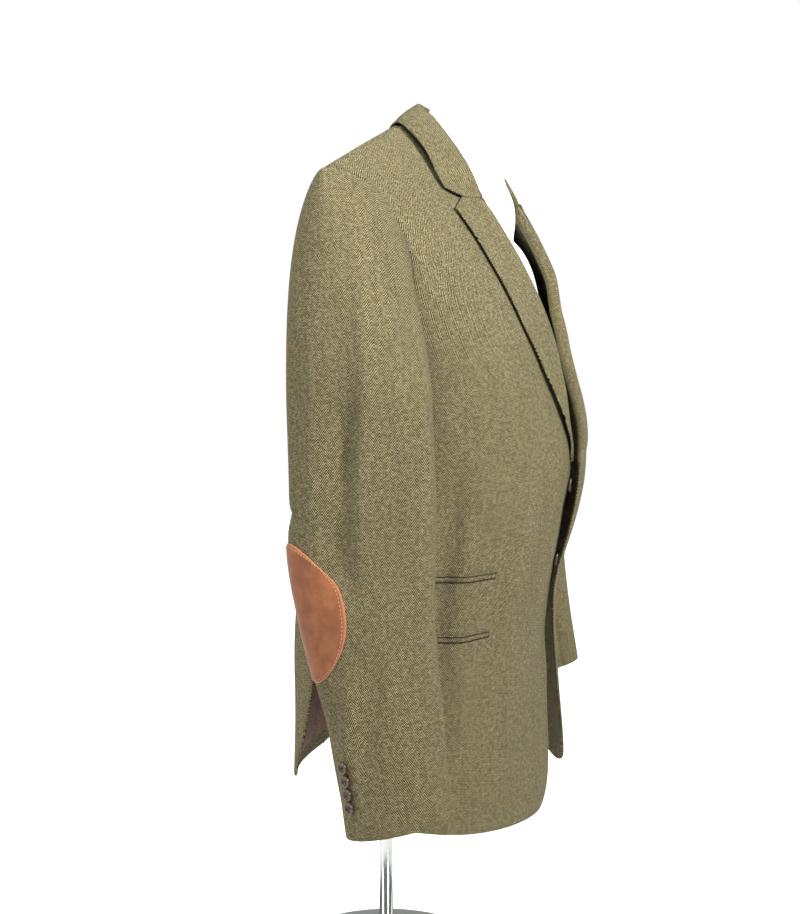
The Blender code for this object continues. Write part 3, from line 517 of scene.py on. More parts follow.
@functools.cache
def armhole_angles(rise):
    """The front and back angles of the armhole seam at a rise above the underarm."""
    return track(ARMHOLE, halving(lambda turn: track(ARMHOLE, turn)[0] > rise))[1:]


class Grain:
    """Distances over a surface, so that a weave keeps its size on it."""

    def __init__(self, place, first, second):
        grid = np.array([[tuple(place(a, b)) for b in second] for a in first])
        self.first, self.second = np.array(first), np.array(second)
        self.around = np.zeros(grid.shape[:2])
        self.along = np.zeros(grid.shape[:2])
        self.around[1:] = np.cumsum(np.linalg.norm(np.diff(grid, axis=0), axis=2), axis=0)
        self.along[:, 1:] = np.cumsum(np.linalg.norm(np.diff(grid, axis=1), axis=2), axis=1)

    def at(self, a, b):
        """The distances around and along, at a place of the surface."""
        spans = []
        for marks, value in ((self.first, a), (self.second, b)):
            i = min(max(int(np.searchsorted(marks, value)) - 1, 0), len(marks) - 2)
            spans.append((i, (value - marks[i]) / (marks[i + 1] - marks[i])))
        (i, s), (j, t) = spans
        return tuple(mix(mix(table[i, j], table[i + 1, j], s),
                         mix(table[i, j + 1], table[i + 1, j + 1], s), t)
                     for table in (self.around, self.along))

    def cloth(self, a, b, centre):
        """Where the weave is at a place: across from a plumb line, and up."""
        around, along = self.at(a, b)
        return around - self.at(centre, b)[0], along


@functools.cache
def body_grain():
    return Grain(skin, [2 * i - 20 for i in range(106)], [0.02 * i - 0.14 for i in range(108)])


# ---- fronts


def front_edge(height, side):
    """Distance of a front's free edge or roll line from the centre line."""
    if height <= BREAK:
        right, left = track(FRONT_EDGE, height)
        return left if side > 0 else right
    lowest = front_edge(BREAK, side)
    t = min((height - BREAK) / (GORGE - BREAK), 1.0)
    return mix(lowest, ROLL_WIDTH, t ** 0.94)


def roll_line(height, side):
    """The same for the fold's outer face, which stands out over the roll line."""
    fold = ROLL_OUT * smooth(BREAK + 0.004, BREAK + 0.05, height)
    return front_edge(height, side) + fold


@functools.cache
def inner_angle(level, side):
    """The angle of the free edge or roll line at a level."""
    x = 0.03
    for _ in range(12):
        height = level * ARM if level <= 1 else mix(ARM, ridge_z(x), level - 1)
        x = front_edge(height, side)
    return angle_at(roll_line(height, side), level)


def outer_angle(level):
    """The angle of the front's other edge: the side seam, then the armhole."""
    if level <= 1:
        return FRONT_SEAM
    return min(FRONT_SEAM, armhole_angles(level - 1)[0])


def corner_rise(out):
    """How far the rounded corner lifts the hem, at a distance from the free edge."""
    if out >= CORNER:
        return 0.0
    return CORNER - math.sqrt(CORNER**2 - (CORNER - out)**2)


def lap(angle, level, side):
    """How far a front stands away from the body near its edge."""
    height = level * ARM
    near = 1 - smooth(4, 46, angle)
    if side < 0:
        turned_in = smooth(0.10, 0.17, height) * (1 - smooth(0.31, 0.37, height))
        flare = 1 - smooth(-0.05, 0.17, height)
        return RIGHT_FLARE * flare * near - TURNED_IN * turned_in * (1 - smooth(-4, 7, angle))
    flare = 1 - smooth(-0.05, 0.26, height)
    waist = smooth(0.20, 0.36, height) * (1 - smooth(0.40, 0.52, height))
    chest = smooth(0.58, 0.67, height) * (1 - smooth(1.85, 2.0, level))
    return (LEFT_WAIST * waist + LEFT_CHEST * chest + LEFT_FLARE * flare) * near


def hung(angle, level, foot=0.0):
    """Draw a low level towards the hanging line of the hem."""
    height = level * ARM
    if height >= ROUND_TOP:
        return level
    return mix(track(HEMLINE, angle)[0] + foot, ROUND_TOP, height / ROUND_TOP) / ARM


def front_place(share, level, side):
    """Angle and level of a front, at a share of its width; low rows follow its corner."""
    start = inner_angle(level, side)
    angle = mix(start, outer_angle(level), share)
    if level * ARM < ROUND_TOP:
        out = abs(skin(angle, level).x - skin(start, level).x)
        level = hung(angle, level, corner_rise(out))
        angle = mix(inner_angle(level, side), outer_angle(level), share)
    return angle, level


def grid(firsts, seconds, place):
    """Rows of the places that a function gives."""
    return [[place(first, second) for second in seconds] for first in firsts]


def woven(placed, angle, level, plumb):
    """A point and its normal, with where the body's weave is there."""
    return (*placed, body_grain().cloth(angle, level, plumb))


def lapped(angle, level, side, lift=0.0):
    """A point over a front that stands away from the body, with its normal."""
    return body_point(angle, level, side, lift + lap(angle, level, side))


def lapped_point(x, height, side, lift=0.0):
    """The same, placed by its distance from the centre and its height."""
    level = level_at(x, height)
    return lapped(angle_at(x, level), level, side, lift)


def front_sheet(side, columns, levels, lift):
    """Rows of a layer of the front, with the weave plumb from the shoulder's middle."""
    def place(level, share):
        angle, at = front_place(share, level, side)
        return woven(lapped(angle, at, side, lift), angle, at, FRONT_PLUMB)
    return grid(levels, columns, place)


def lower_levels(cell, start=0.0, end=ARM):
    """Levels from one height to another, evenly apart."""
    return [mix(start, end, share) / ARM for share in spread(end - start, cell, False, False)]


def dome_levels(cell, end=2.0):
    """Levels from just above the underarm to the shoulder line."""
    count = int(0.34 / cell)
    levels = [1 + math.sin(math.pi / 2 * i / count) for i in range(1, count + 1)]
    return [level for level in levels if level < end - 1e-6] + [end]


# ---- sides and back


def side_rear(level):
    """The rear edge of the side panel: the seam, then the open vent."""
    opening = max(1 - level * ARM / VENT, 0.0)
    return BACK_SEAM - 20 * opening**1.2


def back_start(level):
    """The side edge of the back: the vent, the seam, then the armhole."""
    if level > 1:
        return max(BACK_SEAM, armhole_angles(level - 1)[1])
    opening = max(1 - level * ARM / 0.20, 0.0)
    return BACK_SEAM + 21 * opening**2.2


@functools.cache
def underarm_level(angle):
    """The level of the armhole's lowest stretch over the side panel."""
    def outside(turn):
        front, back = track(ARMHOLE, turn)[1:]
        return front < angle if angle < 90 else back > angle
    return 1.0 + track(ARMHOLE, halving(outside, 0.85))[0]


NAPE = 0.780           # height of the neck seam at the centre back
NECK_SIDE = 0.074      # half width of the neck seam at the shoulder line
SIDE_TOP = 0.43        # height from which the side's rows are drawn to the armhole


def side_row(columns, level, side, lift, top=0.0):
    """A row of the side panel; its last rows are drawn towards the armhole."""
    row = []
    for share in columns:
        angle = mix(FRONT_SEAM, side_rear(level), share)
        at = mix(level, underarm_level(round(angle, 4)), top) if top else hung(angle, level)
        row.append(woven(body_point(angle, at, side, lift), angle, at, SIDE_PLUMB))
    return row


def back_end(level):
    """The centre seam, then the neckline."""
    nape = level_at(0.0, NAPE)
    if level <= nape:
        return 180.0
    x = NECK_SIDE * math.sqrt((level - nape) / (2 - nape))
    return 180 - angle_at(x, level)


# ---- sleeves


def sleeve_ring(turn, row):
    """A point of a ring of the sleeve: turn 0 is outside, 0.25 behind, 0.75 in front."""
    height, centre_x, centre_y, half_thickness, half_width, rise = row
    around = math.tau * turn
    x = centre_x + half_thickness * power(math.cos(around), 0.92)
    y = centre_y + half_width * power(math.sin(around), 0.92)
    z = height - rise * power(math.sin(around), 0.92)
    return Vector((x, y, z))


@functools.cache
def armhole_seam(turn):
    """The armhole seam that the sleeve is set into, and the body's normal at it."""
    front = turn > 0.5
    along = (1 - turn) * 2 if front else turn * 2
    rise, front_angle, back_angle = track(ARMHOLE, along)
    angle = front_angle if front else back_angle
    return skin(angle, 1 + rise), skin_normal(angle, 1 + rise)


@functools.cache
def sleeve_ring_row(along):
    height = mix(SLEEVE[0][0], SLEEVE[-1][0], min(along - 1, 1.0))
    return [height] + track(tuple(reversed(SLEEVE)), height)


def sleeve_place(turn, along):
    """A point of the sleeve: along runs 0 to 1 over its head, then 1 to 2 to the cuff."""
    turn %= 1.0
    if along >= 1:
        return sleeve_ring(turn, sleeve_ring_row(along))
    start = armhole_seam(turn)[0]
    end = sleeve_ring(turn, SLEEVE[0])
    top = (1 + math.cos(math.tau * turn)) / 2
    behind = max(math.sin(math.tau * turn), 0.0)
    out = Vector((mix(0.030, 0.075, top), 0.055 * behind, mix(-0.030, 0.018, top)))
    down = Vector((mix(0.0, 0.004, top), -0.004, -mix(0.030, 0.300, top**0.8)))
    t = along
    return ((2 * t**3 - 3 * t**2 + 1) * start + (t**3 - 2 * t**2 + t) * out
            + (3 * t**2 - 2 * t**3) * end + (t**3 - t**2) * down)


@functools.cache
def sleeve_axis(along):
    """The middle of the sleeve."""
    corners = [sleeve_place(turn, along) for turn in (0.0, 0.25, 0.5, 0.75)]
    return sum(corners, Vector()) / 4


def sleeve_point(turn, along, side, lift=0.0):
    step = 0.004
    back = min(along, 1.995)
    around = sleeve_place(turn + step, along) - sleeve_place(turn - step, along)
    down = sleeve_place(turn, back + step) - sleeve_place(turn, max(back - step, 0.0))
    normal = around.cross(down).normalized()
    place = sleeve_place(turn, along)
    if normal.dot(place - sleeve_axis(along)) < 0:
        normal.negate()
    if along < 0.05:
        weight = smooth(-0.1, 0.7, math.cos(math.tau * turn)) * (1 - along / 0.05)
        normal = normal.lerp(armhole_seam(turn % 1.0)[1], weight).normalized()
    point = place + normal * lift
    if side > 0:
        point.y -= LEFT_FORWARD * smooth(0.8, 1.3, along)
    flip = Vector((side, 1, 1))
    return point * flip + FLOOR_TO_HEM, normal * flip


def sleeve_along(height):
    """How far down the sleeve a height is, below its head."""
    return 1 + (SLEEVE[0][0] - height) / (SLEEVE[0][0] - SLEEVE[-1][0])


def armhole_turn(rise, front):
    """The turn of the sleeve at a rise up one side of the armhole."""
    turn = halving(lambda turn: track(ARMHOLE, turn)[0] > rise) / 2
    return 1 - turn if front else turn


HIND_SEAM = armhole_turn(math.sin(math.radians(30)), False)
FORE_SEAM = armhole_turn(math.sin(math.radians(15)), True)


# ---- lapels and collar


def roll_lift(height):
    """How high the lapel stands over the front at its roll line."""
    return mix(LAPEL_FOOT, LAPEL_ROLL, smooth(BREAK - 0.004, 0.47, height))


def lapel_lift(share, height):
    """How high the lapel's outer face stands over the front; its edge springs away low down."""
    lift = mix(roll_lift(height), LAPEL_LIFT, smooth(0, 0.7, share))
    spring = 0.0022 * math.exp(-((height - 0.440) / 0.045) ** 2)
    foot = smooth(BREAK - 0.004, 0.40, height)
    return mix(LAPEL_FOOT * 0.6, lift, mix(foot, 1, 1 - share)) + spring * smooth(0.25, 1, share)


def roll_arc(height, side, steps):
    """The rounded roll, from inside the facing's edge up over the lapel's start."""
    fold = roll_line(height, side)
    foot = CLOTH + PLY + FACING + 0.0008
    top = lapel_lift(0.0, height)
    radius = (top + foot) / 2
    level = level_at(fold, height)
    angle = angle_at(fold, level)
    base, normal = lapped(angle, level, side)
    inward = Vector((-side, 0, 0))
    inward = (inward - normal * inward.dot(normal)).normalized()
    arc = []
    for i in range(steps):
        turn = math.pi * (i / steps - 0.5)
        lift = top - radius + radius * math.sin(turn)
        arc.append(base + normal * lift + inward * radius * math.cos(turn))
    return arc


def collar_curve(station):
    """The fold and the outer edge of the collar at a station; 0 is the centre back."""
    row = track(COLLAR, abs(station))
    flip = Vector((math.copysign(1.0, station), 1, 1))
    ahead = Vector((0, LEFT_PROUD * smooth(0.45, 1.0, station), 0))
    return Vector(row[0:3]) * flip - ahead, Vector(row[3:6]) * flip - ahead


def collar_place(station, share):
    """A point of the fall, from its fold (0) to its outer edge (1)."""
    fold, edge = collar_curve(station)
    bulge = mix(0.003, 0.008, smooth(0.1, 0.6, abs(station))) * math.sin(math.pi * share)
    out = Vector((fold.x + edge.x, (fold.y + edge.y) / 2 + 0.085, 0)).normalized()
    up = Vector((0, 0, 1))
    return fold.lerp(edge, share) + (out * 0.5 + up).normalized() * bulge


GORGE_GAP = Vector((0, 0, 0.0004))     # between the collar's end and the lapel


def gorge_point(share, side):
    """The collar's front end: along the gorge seam to the notch, then up to its corner."""
    if share <= 0.6:
        x = mix(ROLL_WIDTH + ROLL_OUT, NOTCH[0], share / 0.6)
        height = mix(GORGE, NOTCH[1], share / 0.6)
        return lapped_point(x, height, side, lapel_lift(share, height))[0] + GORGE_GAP
    start = gorge_point(0.6, side)
    corner = collar_curve(side)[1] + FLOOR_TO_HEM
    return start.lerp(corner, (share - 0.6) / 0.4)


# ---- making cloth

RIM_STEPS = 3          # rows of points round a shell's rim


def crease_paths(creases, side, place):
    """Each crease of one side as close points of its path, with its depth and width."""
    paths = []
    for which, depth, width, stations in creases:
        if which not in (0, side):
            continue
        table = tuple((float(i), *station) for i, station in enumerate(stations))
        count = 8 * (len(stations) - 1)
        points = []
        for i in range(count + 1):
            a, height = track(table, i * (len(stations) - 1) / count)
            points.append(tuple(place(a, height, side)))
        paths.append((depth, width, np.array(points)))
    return paths


@functools.cache
def body_creases(side):
    def place(angle, height, side):
        x = abs(skin(angle, min(height / ARM, 1.0)).x)
        if angle > 90:
            x = abs(skin(angle, 1.0 + max(height - ARM, 0.0) / 0.25).x) if height > ARM else x
        return body_point(angle, level_at(x, height), side)[0]
    paths = crease_paths(BODY_CREASES, side, place)
    centre = [row for row in BODY_CREASES if row[0] == 0 and row[3][0][0] == 180]
    return paths + crease_paths(centre, -side, place) if centre else paths


@functools.cache
def sleeve_creases(side):
    def place(turn, height, side):
        along = sleeve_along(height)
        if height > SLEEVE[0][0]:
            along = max(1 - (height - SLEEVE[0][0]) / 0.21, 0.02)
        return sleeve_point(turn, along, side)[0]
    return crease_paths(SLEEVE_CREASES, side, place)


def creased(at, paths):
    """How far the creases lift each point of a grid."""
    lift = np.zeros(at.shape[:2])
    for depth, width, points in paths:
        near = np.full(at.shape[:2], 1e9)
        share = np.zeros(at.shape[:2])
        for i, (a, b) in enumerate(zip(points, points[1:])):
            line = b - a
            t = np.clip(((at - a) @ line) / max(line @ line, 1e-12), 0.0, 1.0)
            away = np.linalg.norm(at - a - t[..., None] * line, axis=2)
            closer = away < near
            near = np.where(closer, away, near)
            share = np.where(closer, (i + t) / (len(points) - 1), share)
        uneven = 1 + 0.16 * np.sin(9.0 * share + 700 * abs(depth)) + 0.10 * np.sin(23.0 * share)
        ends = soft(-0.02, 0.26, share) * (1 - soft(0.74, 1.02, share))
        wide = width * (0.85 + 0.3 * share)
        lift += depth * uneven * ends * np.exp(-(near / wide) ** 2)
    return lift


def baked(thing):
    """The plain mesh of an object with its modifiers."""
    shape = thing.evaluated_get(bpy.context.evaluated_depsgraph_get())
    return bpy.data.meshes.new_from_object(shape)


def on_cloth(path, creases):
    """A path of (point, normal) pairs, moved with the creases that it crosses."""
    rise = creased(np.array([[tuple(point) for point, normal in path]]), creases)[0]
    return [(point + normal * r, normal) for (point, normal), r in zip(path, rise)]


def place_object(name, data):
    made = bpy.data.objects.new(name, data)
    bpy.context.scene.collection.objects.link(made)
    return made


def link(name, mesh, *looks):
    """Link a mesh as a smooth piece with its materials."""
    for look in looks:
        mesh.materials.append(look)
    mesh.shade_smooth()
    mesh.set_sharp_from_angle(angle=math.radians(62))
    return place_object(name, mesh)


def unit(v):
    return v / np.maximum(np.linalg.norm(v, axis=-1, keepdims=True), 1e-12)


def shell(name, rows, wall, looks, sewn=(False, False, False, False), creases=None, inside=None,
          dip=None, outward=(0, 0, 1)):
    """A thin wall through rows of (outer point, normal, weave place), with rounded free rims."""
    sizes = settings()
    at = np.array([[tuple(p[0]) for p in row] for row in rows])
    grain = np.array([[tuple(p[2]) for p in row] for row in rows])
    if rows[0][0][1] is None:
        out = unit(np.cross(np.gradient(at, axis=1), np.gradient(at, axis=0)))
        if out[out.shape[0] // 2, out.shape[1] // 2] @ np.array(outward) < 0:
            out = -out
    else:
        out = np.array([[tuple(p[1]) for p in row] for row in rows])
    tall, wide = at.shape[:2]

    inward = {0: unit(at[:, 1] - at[:, 0]), 1: unit(at[:, -2] - at[:, -1]),
              2: unit(at[1] - at[0]), 3: unit(at[-2] - at[-1])}
    edge = {0: (slice(None), 0), 1: (slice(None), -1), 2: (0, slice(None)), 3: (-1, slice(None))}
    near = np.full((tall, wide), 1.0)
    across = np.linalg.norm(np.diff(at, axis=1), axis=2)
    upward = np.linalg.norm(np.diff(at, axis=0), axis=2)
    from_start = np.concatenate([np.zeros((tall, 1)), np.cumsum(across, axis=1)], axis=1)
    from_first = np.concatenate([np.zeros((1, wide)), np.cumsum(upward, axis=0)], axis=0)
    away = (from_start, from_start[:, -1:] - from_start, from_first, from_first[-1:] - from_first)
    for side, is_sewn in enumerate(sewn):
        if is_sewn:
            at[edge[side]] += inward[side] * sizes.seam_gap / 2
            near = np.minimum(near, away[side])
    depth = sizes.seam_dip if dip is None else dip
    lift = -depth * (1 - soft(0.0, sizes.seam_reach, near))
    lift += 0.25 * depth * np.exp(-((near - 2 * sizes.seam_reach) / sizes.seam_reach) ** 2)
    if creases:
        lift = lift + creased(at, creases)
    outer = at + out * lift[..., None]
    inner = outer - out * wall

    points = [outer.reshape(-1, 3), inner.reshape(-1, 3)]
    grains = [grain.reshape(-1, 2), grain.reshape(-1, 2)]
    index = np.arange(tall * wide).reshape(tall, wide)
    quads = np.stack([index[:-1, :-1], index[:-1, 1:], index[1:, 1:], index[1:, :-1]], axis=-1)
    quads = quads.reshape(-1, 4)
    rim = [(0, c) for c in range(wide)] + [(r, wide - 1) for r in range(1, tall)]
    rim += [(tall - 1, c) for c in range(wide - 2, -1, -1)]
    rim += [(r, 0) for r in range(tall - 2, 0, -1)]
    bulge = np.zeros((len(rim), 3))
    for k, (r, c) in enumerate(rim):
        sides = [s for s, hit in enumerate((c == 0, c == wide - 1, r == 0, r == tall - 1)) if hit]
        free = [s for s in sides if not sewn[s]]
        if len(free) == len(sides):
            bulge[k] = -sum(inward[s][r if s < 2 else c] for s in free)
            bulge[k] /= max(np.linalg.norm(bulge[k]), 1e-9)
    rr, cc = np.array(rim).T
    top, low = outer[rr, cc], inner[rr, cc]
    bulge -= out[rr, cc] * np.sum(bulge * out[rr, cc], axis=1, keepdims=True)
    start = 2 * tall * wide
    for i in range(1, RIM_STEPS + 1):
        turn = math.pi * i / (RIM_STEPS + 1)
        ring = (top + low) / 2 + (top - low) / 2 * math.cos(turn)
        points.append(ring + bulge * wall / 2 * math.sin(turn))
        grains.append(grain[rr, cc] + 0.4 * wall * math.sin(turn))
    rings = [index[rr, cc]]
    rings += [start + len(rim) * i + np.arange(len(rim)) for i in range(RIM_STEPS)]
    rings += [index[rr, cc] + tall * wide]
    faces = [quads, quads[:, ::-1] + tall * wide]
    for a, b in zip(rings, rings[1:]):
        faces.append(np.stack([a, b, np.roll(b, -1), np.roll(a, -1)], axis=-1))
    faces = np.concatenate(faces)
    points, grains = np.concatenate(points), np.concatenate(grains)
    r, c = tall // 2, wide // 2
    flat = np.cross(outer[r, c] - outer[r, c - 1], outer[r, c] - outer[r - 1, c])
    if flat @ out[r, c] < 0:
        faces = faces[:, ::-1]
    mesh = bpy.data.meshes.new(name)
    mesh.from_pydata(points.tolist(), [], faces.tolist())
    weave = mesh.uv_layers.new(name="grain")
    corner = np.zeros(len(mesh.loops), dtype=np.int32)
    mesh.loops.foreach_get("vertex_index", corner)
    weave.data.foreach_set("uv", grains[corner].astype(np.float32).ravel())
    made = link(name, mesh, *looks)
    if inside is not None:
        lined = inside((quads[:, 0] // wide), (quads[:, 0] % wide), grain)
        marks = np.zeros(len(mesh.polygons), dtype=np.int32)
        marks[len(quads):2 * len(quads)] = lined.astype(np.int32)
        mesh.polygons.foreach_set("material_index", marks)
    mesh.update()
    return made


def sew(name, node, slot, *form, rests=("form",), **details):
    """Make a cloth piece, hang it on the root and hide the solid that it takes the place of."""
    piece = shell(name, *form, **details)
    plain_piece(piece, slot, node)
    return piece


def plain_piece(piece, slot, *nodes):
    """Hang a piece on the root, and hide the solids that it takes the place of."""
    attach(piece, "root")
    if nodes:
        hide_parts(*nodes)


def measured(rows):
    """Numeric weave places of a sheet: distances along its rows and its first column."""
    at = np.array([[tuple(p) for p in row] for row in rows])
    across = np.zeros(at.shape[:2])
    across[:, 1:] = np.cumsum(np.linalg.norm(np.diff(at, axis=1), axis=2), axis=1)
    middle = at.shape[1] // 2
    up = np.zeros(at.shape[0])
    up[1:] = np.cumsum(np.linalg.norm(np.diff(at[:, middle], axis=0), axis=1))
    return across, up


# ---- materials

TWILL_SLOPE = 58       # degrees that the twill lines rise from the weft
RIB = 0.00105          # width of a rib of the cloth's warp


class Wire:
    """A socket of a material's tree that can be used in a sum."""

    def __init__(self, recipe, socket):
        self.recipe, self.socket = recipe, socket

    def sum(self, operation, *values):
        return self.recipe.node("ShaderNodeMath", {"operation": operation},
                                dict(enumerate(values)))

    def __add__(self, other):
        return self.sum("ADD", self, other)

    def __sub__(self, other):
        return self.sum("SUBTRACT", self, other)

    def __rsub__(self, other):
        return self.sum("SUBTRACT", other, self)

    def __mul__(self, other):
        return self.sum("MULTIPLY", self, other)

    def __truediv__(self, other):
        return self.sum("DIVIDE", self, other)

    __radd__, __rmul__ = __add__, __mul__

    def part(self):
        """What is left over a whole number."""
        return self.sum("FRACT", self)

    def size(self):
        return self.sum("ABSOLUTE", self)

    def step(self, low, high):
        """A soft step from 0 at low to 1 at high."""
        return self.recipe.node("ShaderNodeMapRange", {"interpolation_type": "SMOOTHSTEP"},
                                {"Value": self, "From Min": low, "From Max": high})


class Recipe:
    """A material and the nodes in it."""

    def __init__(self, name, **constants):
        self.material = bpy.data.materials.new(name)
        self.material.use_nodes = True
        self.tree = self.material.node_tree
        self.shader = self.tree.nodes["Principled BSDF"]
        for socket, value in constants.items():
            self.shader.inputs[socket.replace("_", " ")].default_value = value

    def node(self, kind, settings=None, values=None, out=0):
        """Add a node: its settings first, then the values or links of its sockets."""
        made = self.tree.nodes.new(kind)
        for name, value in (settings or {}).items():
            setattr(made, name, value)
        for key, value in (values or {}).items():
            if isinstance(value, Wire):
                self.tree.links.new(value.socket, made.inputs[key])
            else:
                made.inputs[key].default_value = value
        return Wire(self, made.outputs[out])

    def grain(self):
        """The weave's own places: across and up, in metres."""
        place = self.node("ShaderNodeUVMap", {"uv_map": "grain"})
        return (self.node("ShaderNodeSeparateXYZ", None, {0: place}),
                self.node("ShaderNodeSeparateXYZ", None, {0: place}, 1))

    def object_place(self):
        return self.node("ShaderNodeTexCoord", None, None, 3)

    def place(self, x, y, z=0.0):
        return self.node("ShaderNodeCombineXYZ", None, {0: x, 1: y, 2: z})

    def noise(self, place, scale, detail=2.0, roughness=0.5):
        return self.node("ShaderNodeTexNoise", None,
                         {"Vector": place, "Scale": scale, "Detail": detail,
                          "Roughness": roughness})

    def blend(self, factor, a, b, mode="MIX"):
        """Mix two colours."""
        values = {0: factor}
        for key, value in ((6, a), (7, b)):
            values[key] = value if isinstance(value, Wire) else (*value, 1.0)
        return self.node("ShaderNodeMix", {"data_type": "RGBA", "blend_type": mode}, values, 2)

    def shade(self, colour, amount):
        """Darken or lighten a colour by a number."""
        return self.blend(1.0, colour, self.place(amount, amount, amount), "MULTIPLY")

    def feed(self, socket, wire):
        self.tree.links.new(wire.socket, self.shader.inputs[socket])

    def bump(self, height, distance, strength=1.0):
        self.feed("Normal", self.node("ShaderNodeBump", None, {
            "Height": height, "Distance": distance, "Strength": strength}))


def tweed(name, painted_shade=1.0):
    """Herringbone: twill lines of straw and peat yarns that turn back in columns."""
    look = bpy.context.scene.jacket_colours
    made = Recipe(name, Roughness=0.92, Sheen_Weight=0.02, Sheen_Roughness=0.5,
                  Specular_IOR_Level=0.05)
    across, up = made.grain()
    cloth = made.place(across, up)
    drift = made.noise(cloth, 34.0, 2.0) - 0.5
    fine = made.noise(cloth, 900.0, 2.0, 0.6)
    zig = ((across / look.column + drift * 0.10).part() - 0.5).size() * 2
    rise = look.column / 2 * math.tan(math.radians(TWILL_SLOPE)) / look.pitch
    line = (up / look.pitch + zig * rise + drift * 0.35 + (fine - 0.5) * 0.22).part()
    light = ((line - 0.5).size() * 2).step(0.36, 0.62)
    ribs = ((across / RIB).part() - 0.5).size() * 2
    slub = made.noise(made.place(across * 0.35, up), 420.0, 2.0, 0.6)
    heather = made.noise(cloth, 260.0, 1.0, 0.5)
    straw = made.blend(heather.step(0.40, 0.62), look.straw, look.moss)
    warm = made.noise(made.place(across + 1.3, up * 0.5), 100.0, 3.0, 0.6).step(0.50, 0.70)
    straw = made.blend(warm * 0.30, straw, look.russet)
    cool = made.noise(made.place(across - 1.7, up * 0.5), 115.0, 3.0, 0.6).step(0.50, 0.70)
    straw = made.blend(cool * 0.26, straw, look.slate)
    peat = made.blend(slub.step(0.45, 0.75), look.peat, [c * 1.9 for c in look.peat])
    colour = made.blend(light * 0.96 + (slub - 0.5) * 0.44 - 0.04, peat, straw)
    fleck = made.noise(made.place(across + 0.37, up * 0.6), 310.0, 0.0).step(0.70, 0.76)
    colour = made.blend(fleck * 0.40, colour, look.rust)
    bright = made.noise(made.place(across - 0.21, up * 0.7), 350.0, 0.0).step(0.70, 0.78)
    colour = made.blend(bright * 0.22, colour, [min(c * 1.4, 1) for c in look.straw])
    streak = made.noise(made.place(across, up * 0.08), 55.0, 3.0, 0.6)
    cloud = made.noise(cloth, 11.0, 2.0)
    # painted_shade darkens the whole cloth: the inside copy at 0.80 is painted shade for the dark
    # inside of the jacket
    tone = (0.74 + streak * 0.34 + cloud * 0.18 - ribs * 0.04) * painted_shade
    made.feed("Base Color", made.shade(colour, tone))
    made.feed("Roughness", 0.86 + fine * 0.12)
    made.bump(light * 0.55 + fine * 0.5 + slub * 0.45 + ribs * 0.10, 0.00055, 0.85)
    return made.material


def suede():
    look = bpy.context.scene.jacket_colours
    made = Recipe("brushed_suede", Roughness=0.95, Sheen_Weight=0.16, Sheen_Roughness=0.4,
                  Specular_IOR_Level=0.2)
    place = made.object_place()
    edge = made.node("ShaderNodeAttribute", {"attribute_name": "from_edge"}, None, 2)
    nap = made.noise(place, 620.0, 3.0, 0.7)
    brushed = made.noise(place, 70.0, 4.0, 0.62)
    cloud = made.noise(place, 14.0, 1.0)
    colour = made.blend(brushed.step(0.34, 0.68), [c * 0.82 for c in look.suede],
                        [c * 1.14 for c in look.suede])
    colour = made.blend((1 - edge.step(0.0003, 0.0016)) * 0.75, colour,
                        [min(c * 1.9, 1) for c in look.suede])
    made.feed("Base Color", made.shade(colour, 0.80 + nap * 0.30 + cloud * 0.12))
    made.feed("Roughness", 0.86 + nap * 0.13)
    made.bump(nap * 0.7 + brushed * 0.6, 0.0004, 0.8)
    return made.material


def satin():
    look = bpy.context.scene.jacket_colours
    made = Recipe("copper_satin", Roughness=0.40, Specular_IOR_Level=0.03)
    across, up = made.grain()
    cloth = made.place(across, up)
    thread = ((across / 0.0005 + up / 0.0009).part() - 0.5).size() * 2
    ripple_sheen = made.noise(made.place(across, up * 0.25), 38.0, 2.0)
    cloud = made.noise(cloth, 70.0, 3.0)
    # Lighter and darker bands along the ripples are painted sheen and shade; the same noise also
    # bumps the satin
    colour = made.blend(ripple_sheen.step(0.35, 0.7), [c * 0.72 for c in look.satin],
                        [min(c * 1.25, 1) for c in look.satin])
    made.feed("Base Color", made.shade(colour, 0.88 + thread * 0.12 + cloud * 0.08))
    made.feed("Roughness", 0.30 + cloud * 0.18)
    made.bump(thread * 0.12 + ripple_sheen * 2.4 + cloud * 0.5, 0.0012, 0.7)
    return made.material


def horn():
    look = bpy.context.scene.jacket_colours
    made = Recipe("polished_horn", Roughness=0.3, Coat_Weight=0.08, Specular_IOR_Level=0.30,
                  Coat_Roughness=0.15)
    place = made.object_place()
    streak = made.node("ShaderNodeTexWave", {"bands_direction": "DIAGONAL"},
                       {"Vector": place, "Scale": 95.0, "Distortion": 7.0, "Detail": 3.0})
    cloud = made.noise(place, 150.0, 3.0)
    rim = made.node("ShaderNodeAttribute", {"attribute_name": "rim"}, None, 2)
    colour = made.blend(streak * 0.5 + cloud * 0.35, look.horn,
                        [min(c * 3.4, 1) for c in look.horn])
    colour = made.blend(rim * 0.40, colour, (0.13, 0.085, 0.055))
    made.feed("Base Color", made.shade(colour, 0.75 + cloud * 0.5))
    made.feed("Roughness", 0.22 + cloud * 0.2)
    made.bump(cloud + streak * 0.3, 0.00015, 0.5)
    return made.material


def thread(name, colour):
    made = Recipe(name, Roughness=0.7, Sheen_Weight=0.03, Specular_IOR_Level=0.1)
    place = made.object_place()
    twist = made.node("ShaderNodeTexWave", {"bands_direction": "DIAGONAL"},
                      {"Vector": place, "Scale": 900.0, "Distortion": 1.0})
    fuzz = made.noise(place, 1500.0, 2.0)
    made.feed("Base Color", made.shade(made.blend(fuzz, [c * 0.8 for c in colour], colour),
                                       0.8 + twist * 0.25))
    made.feed("Roughness", 0.6 + fuzz * 0.3)
    made.bump(twist, 0.0001, 0.6)
    return made.material


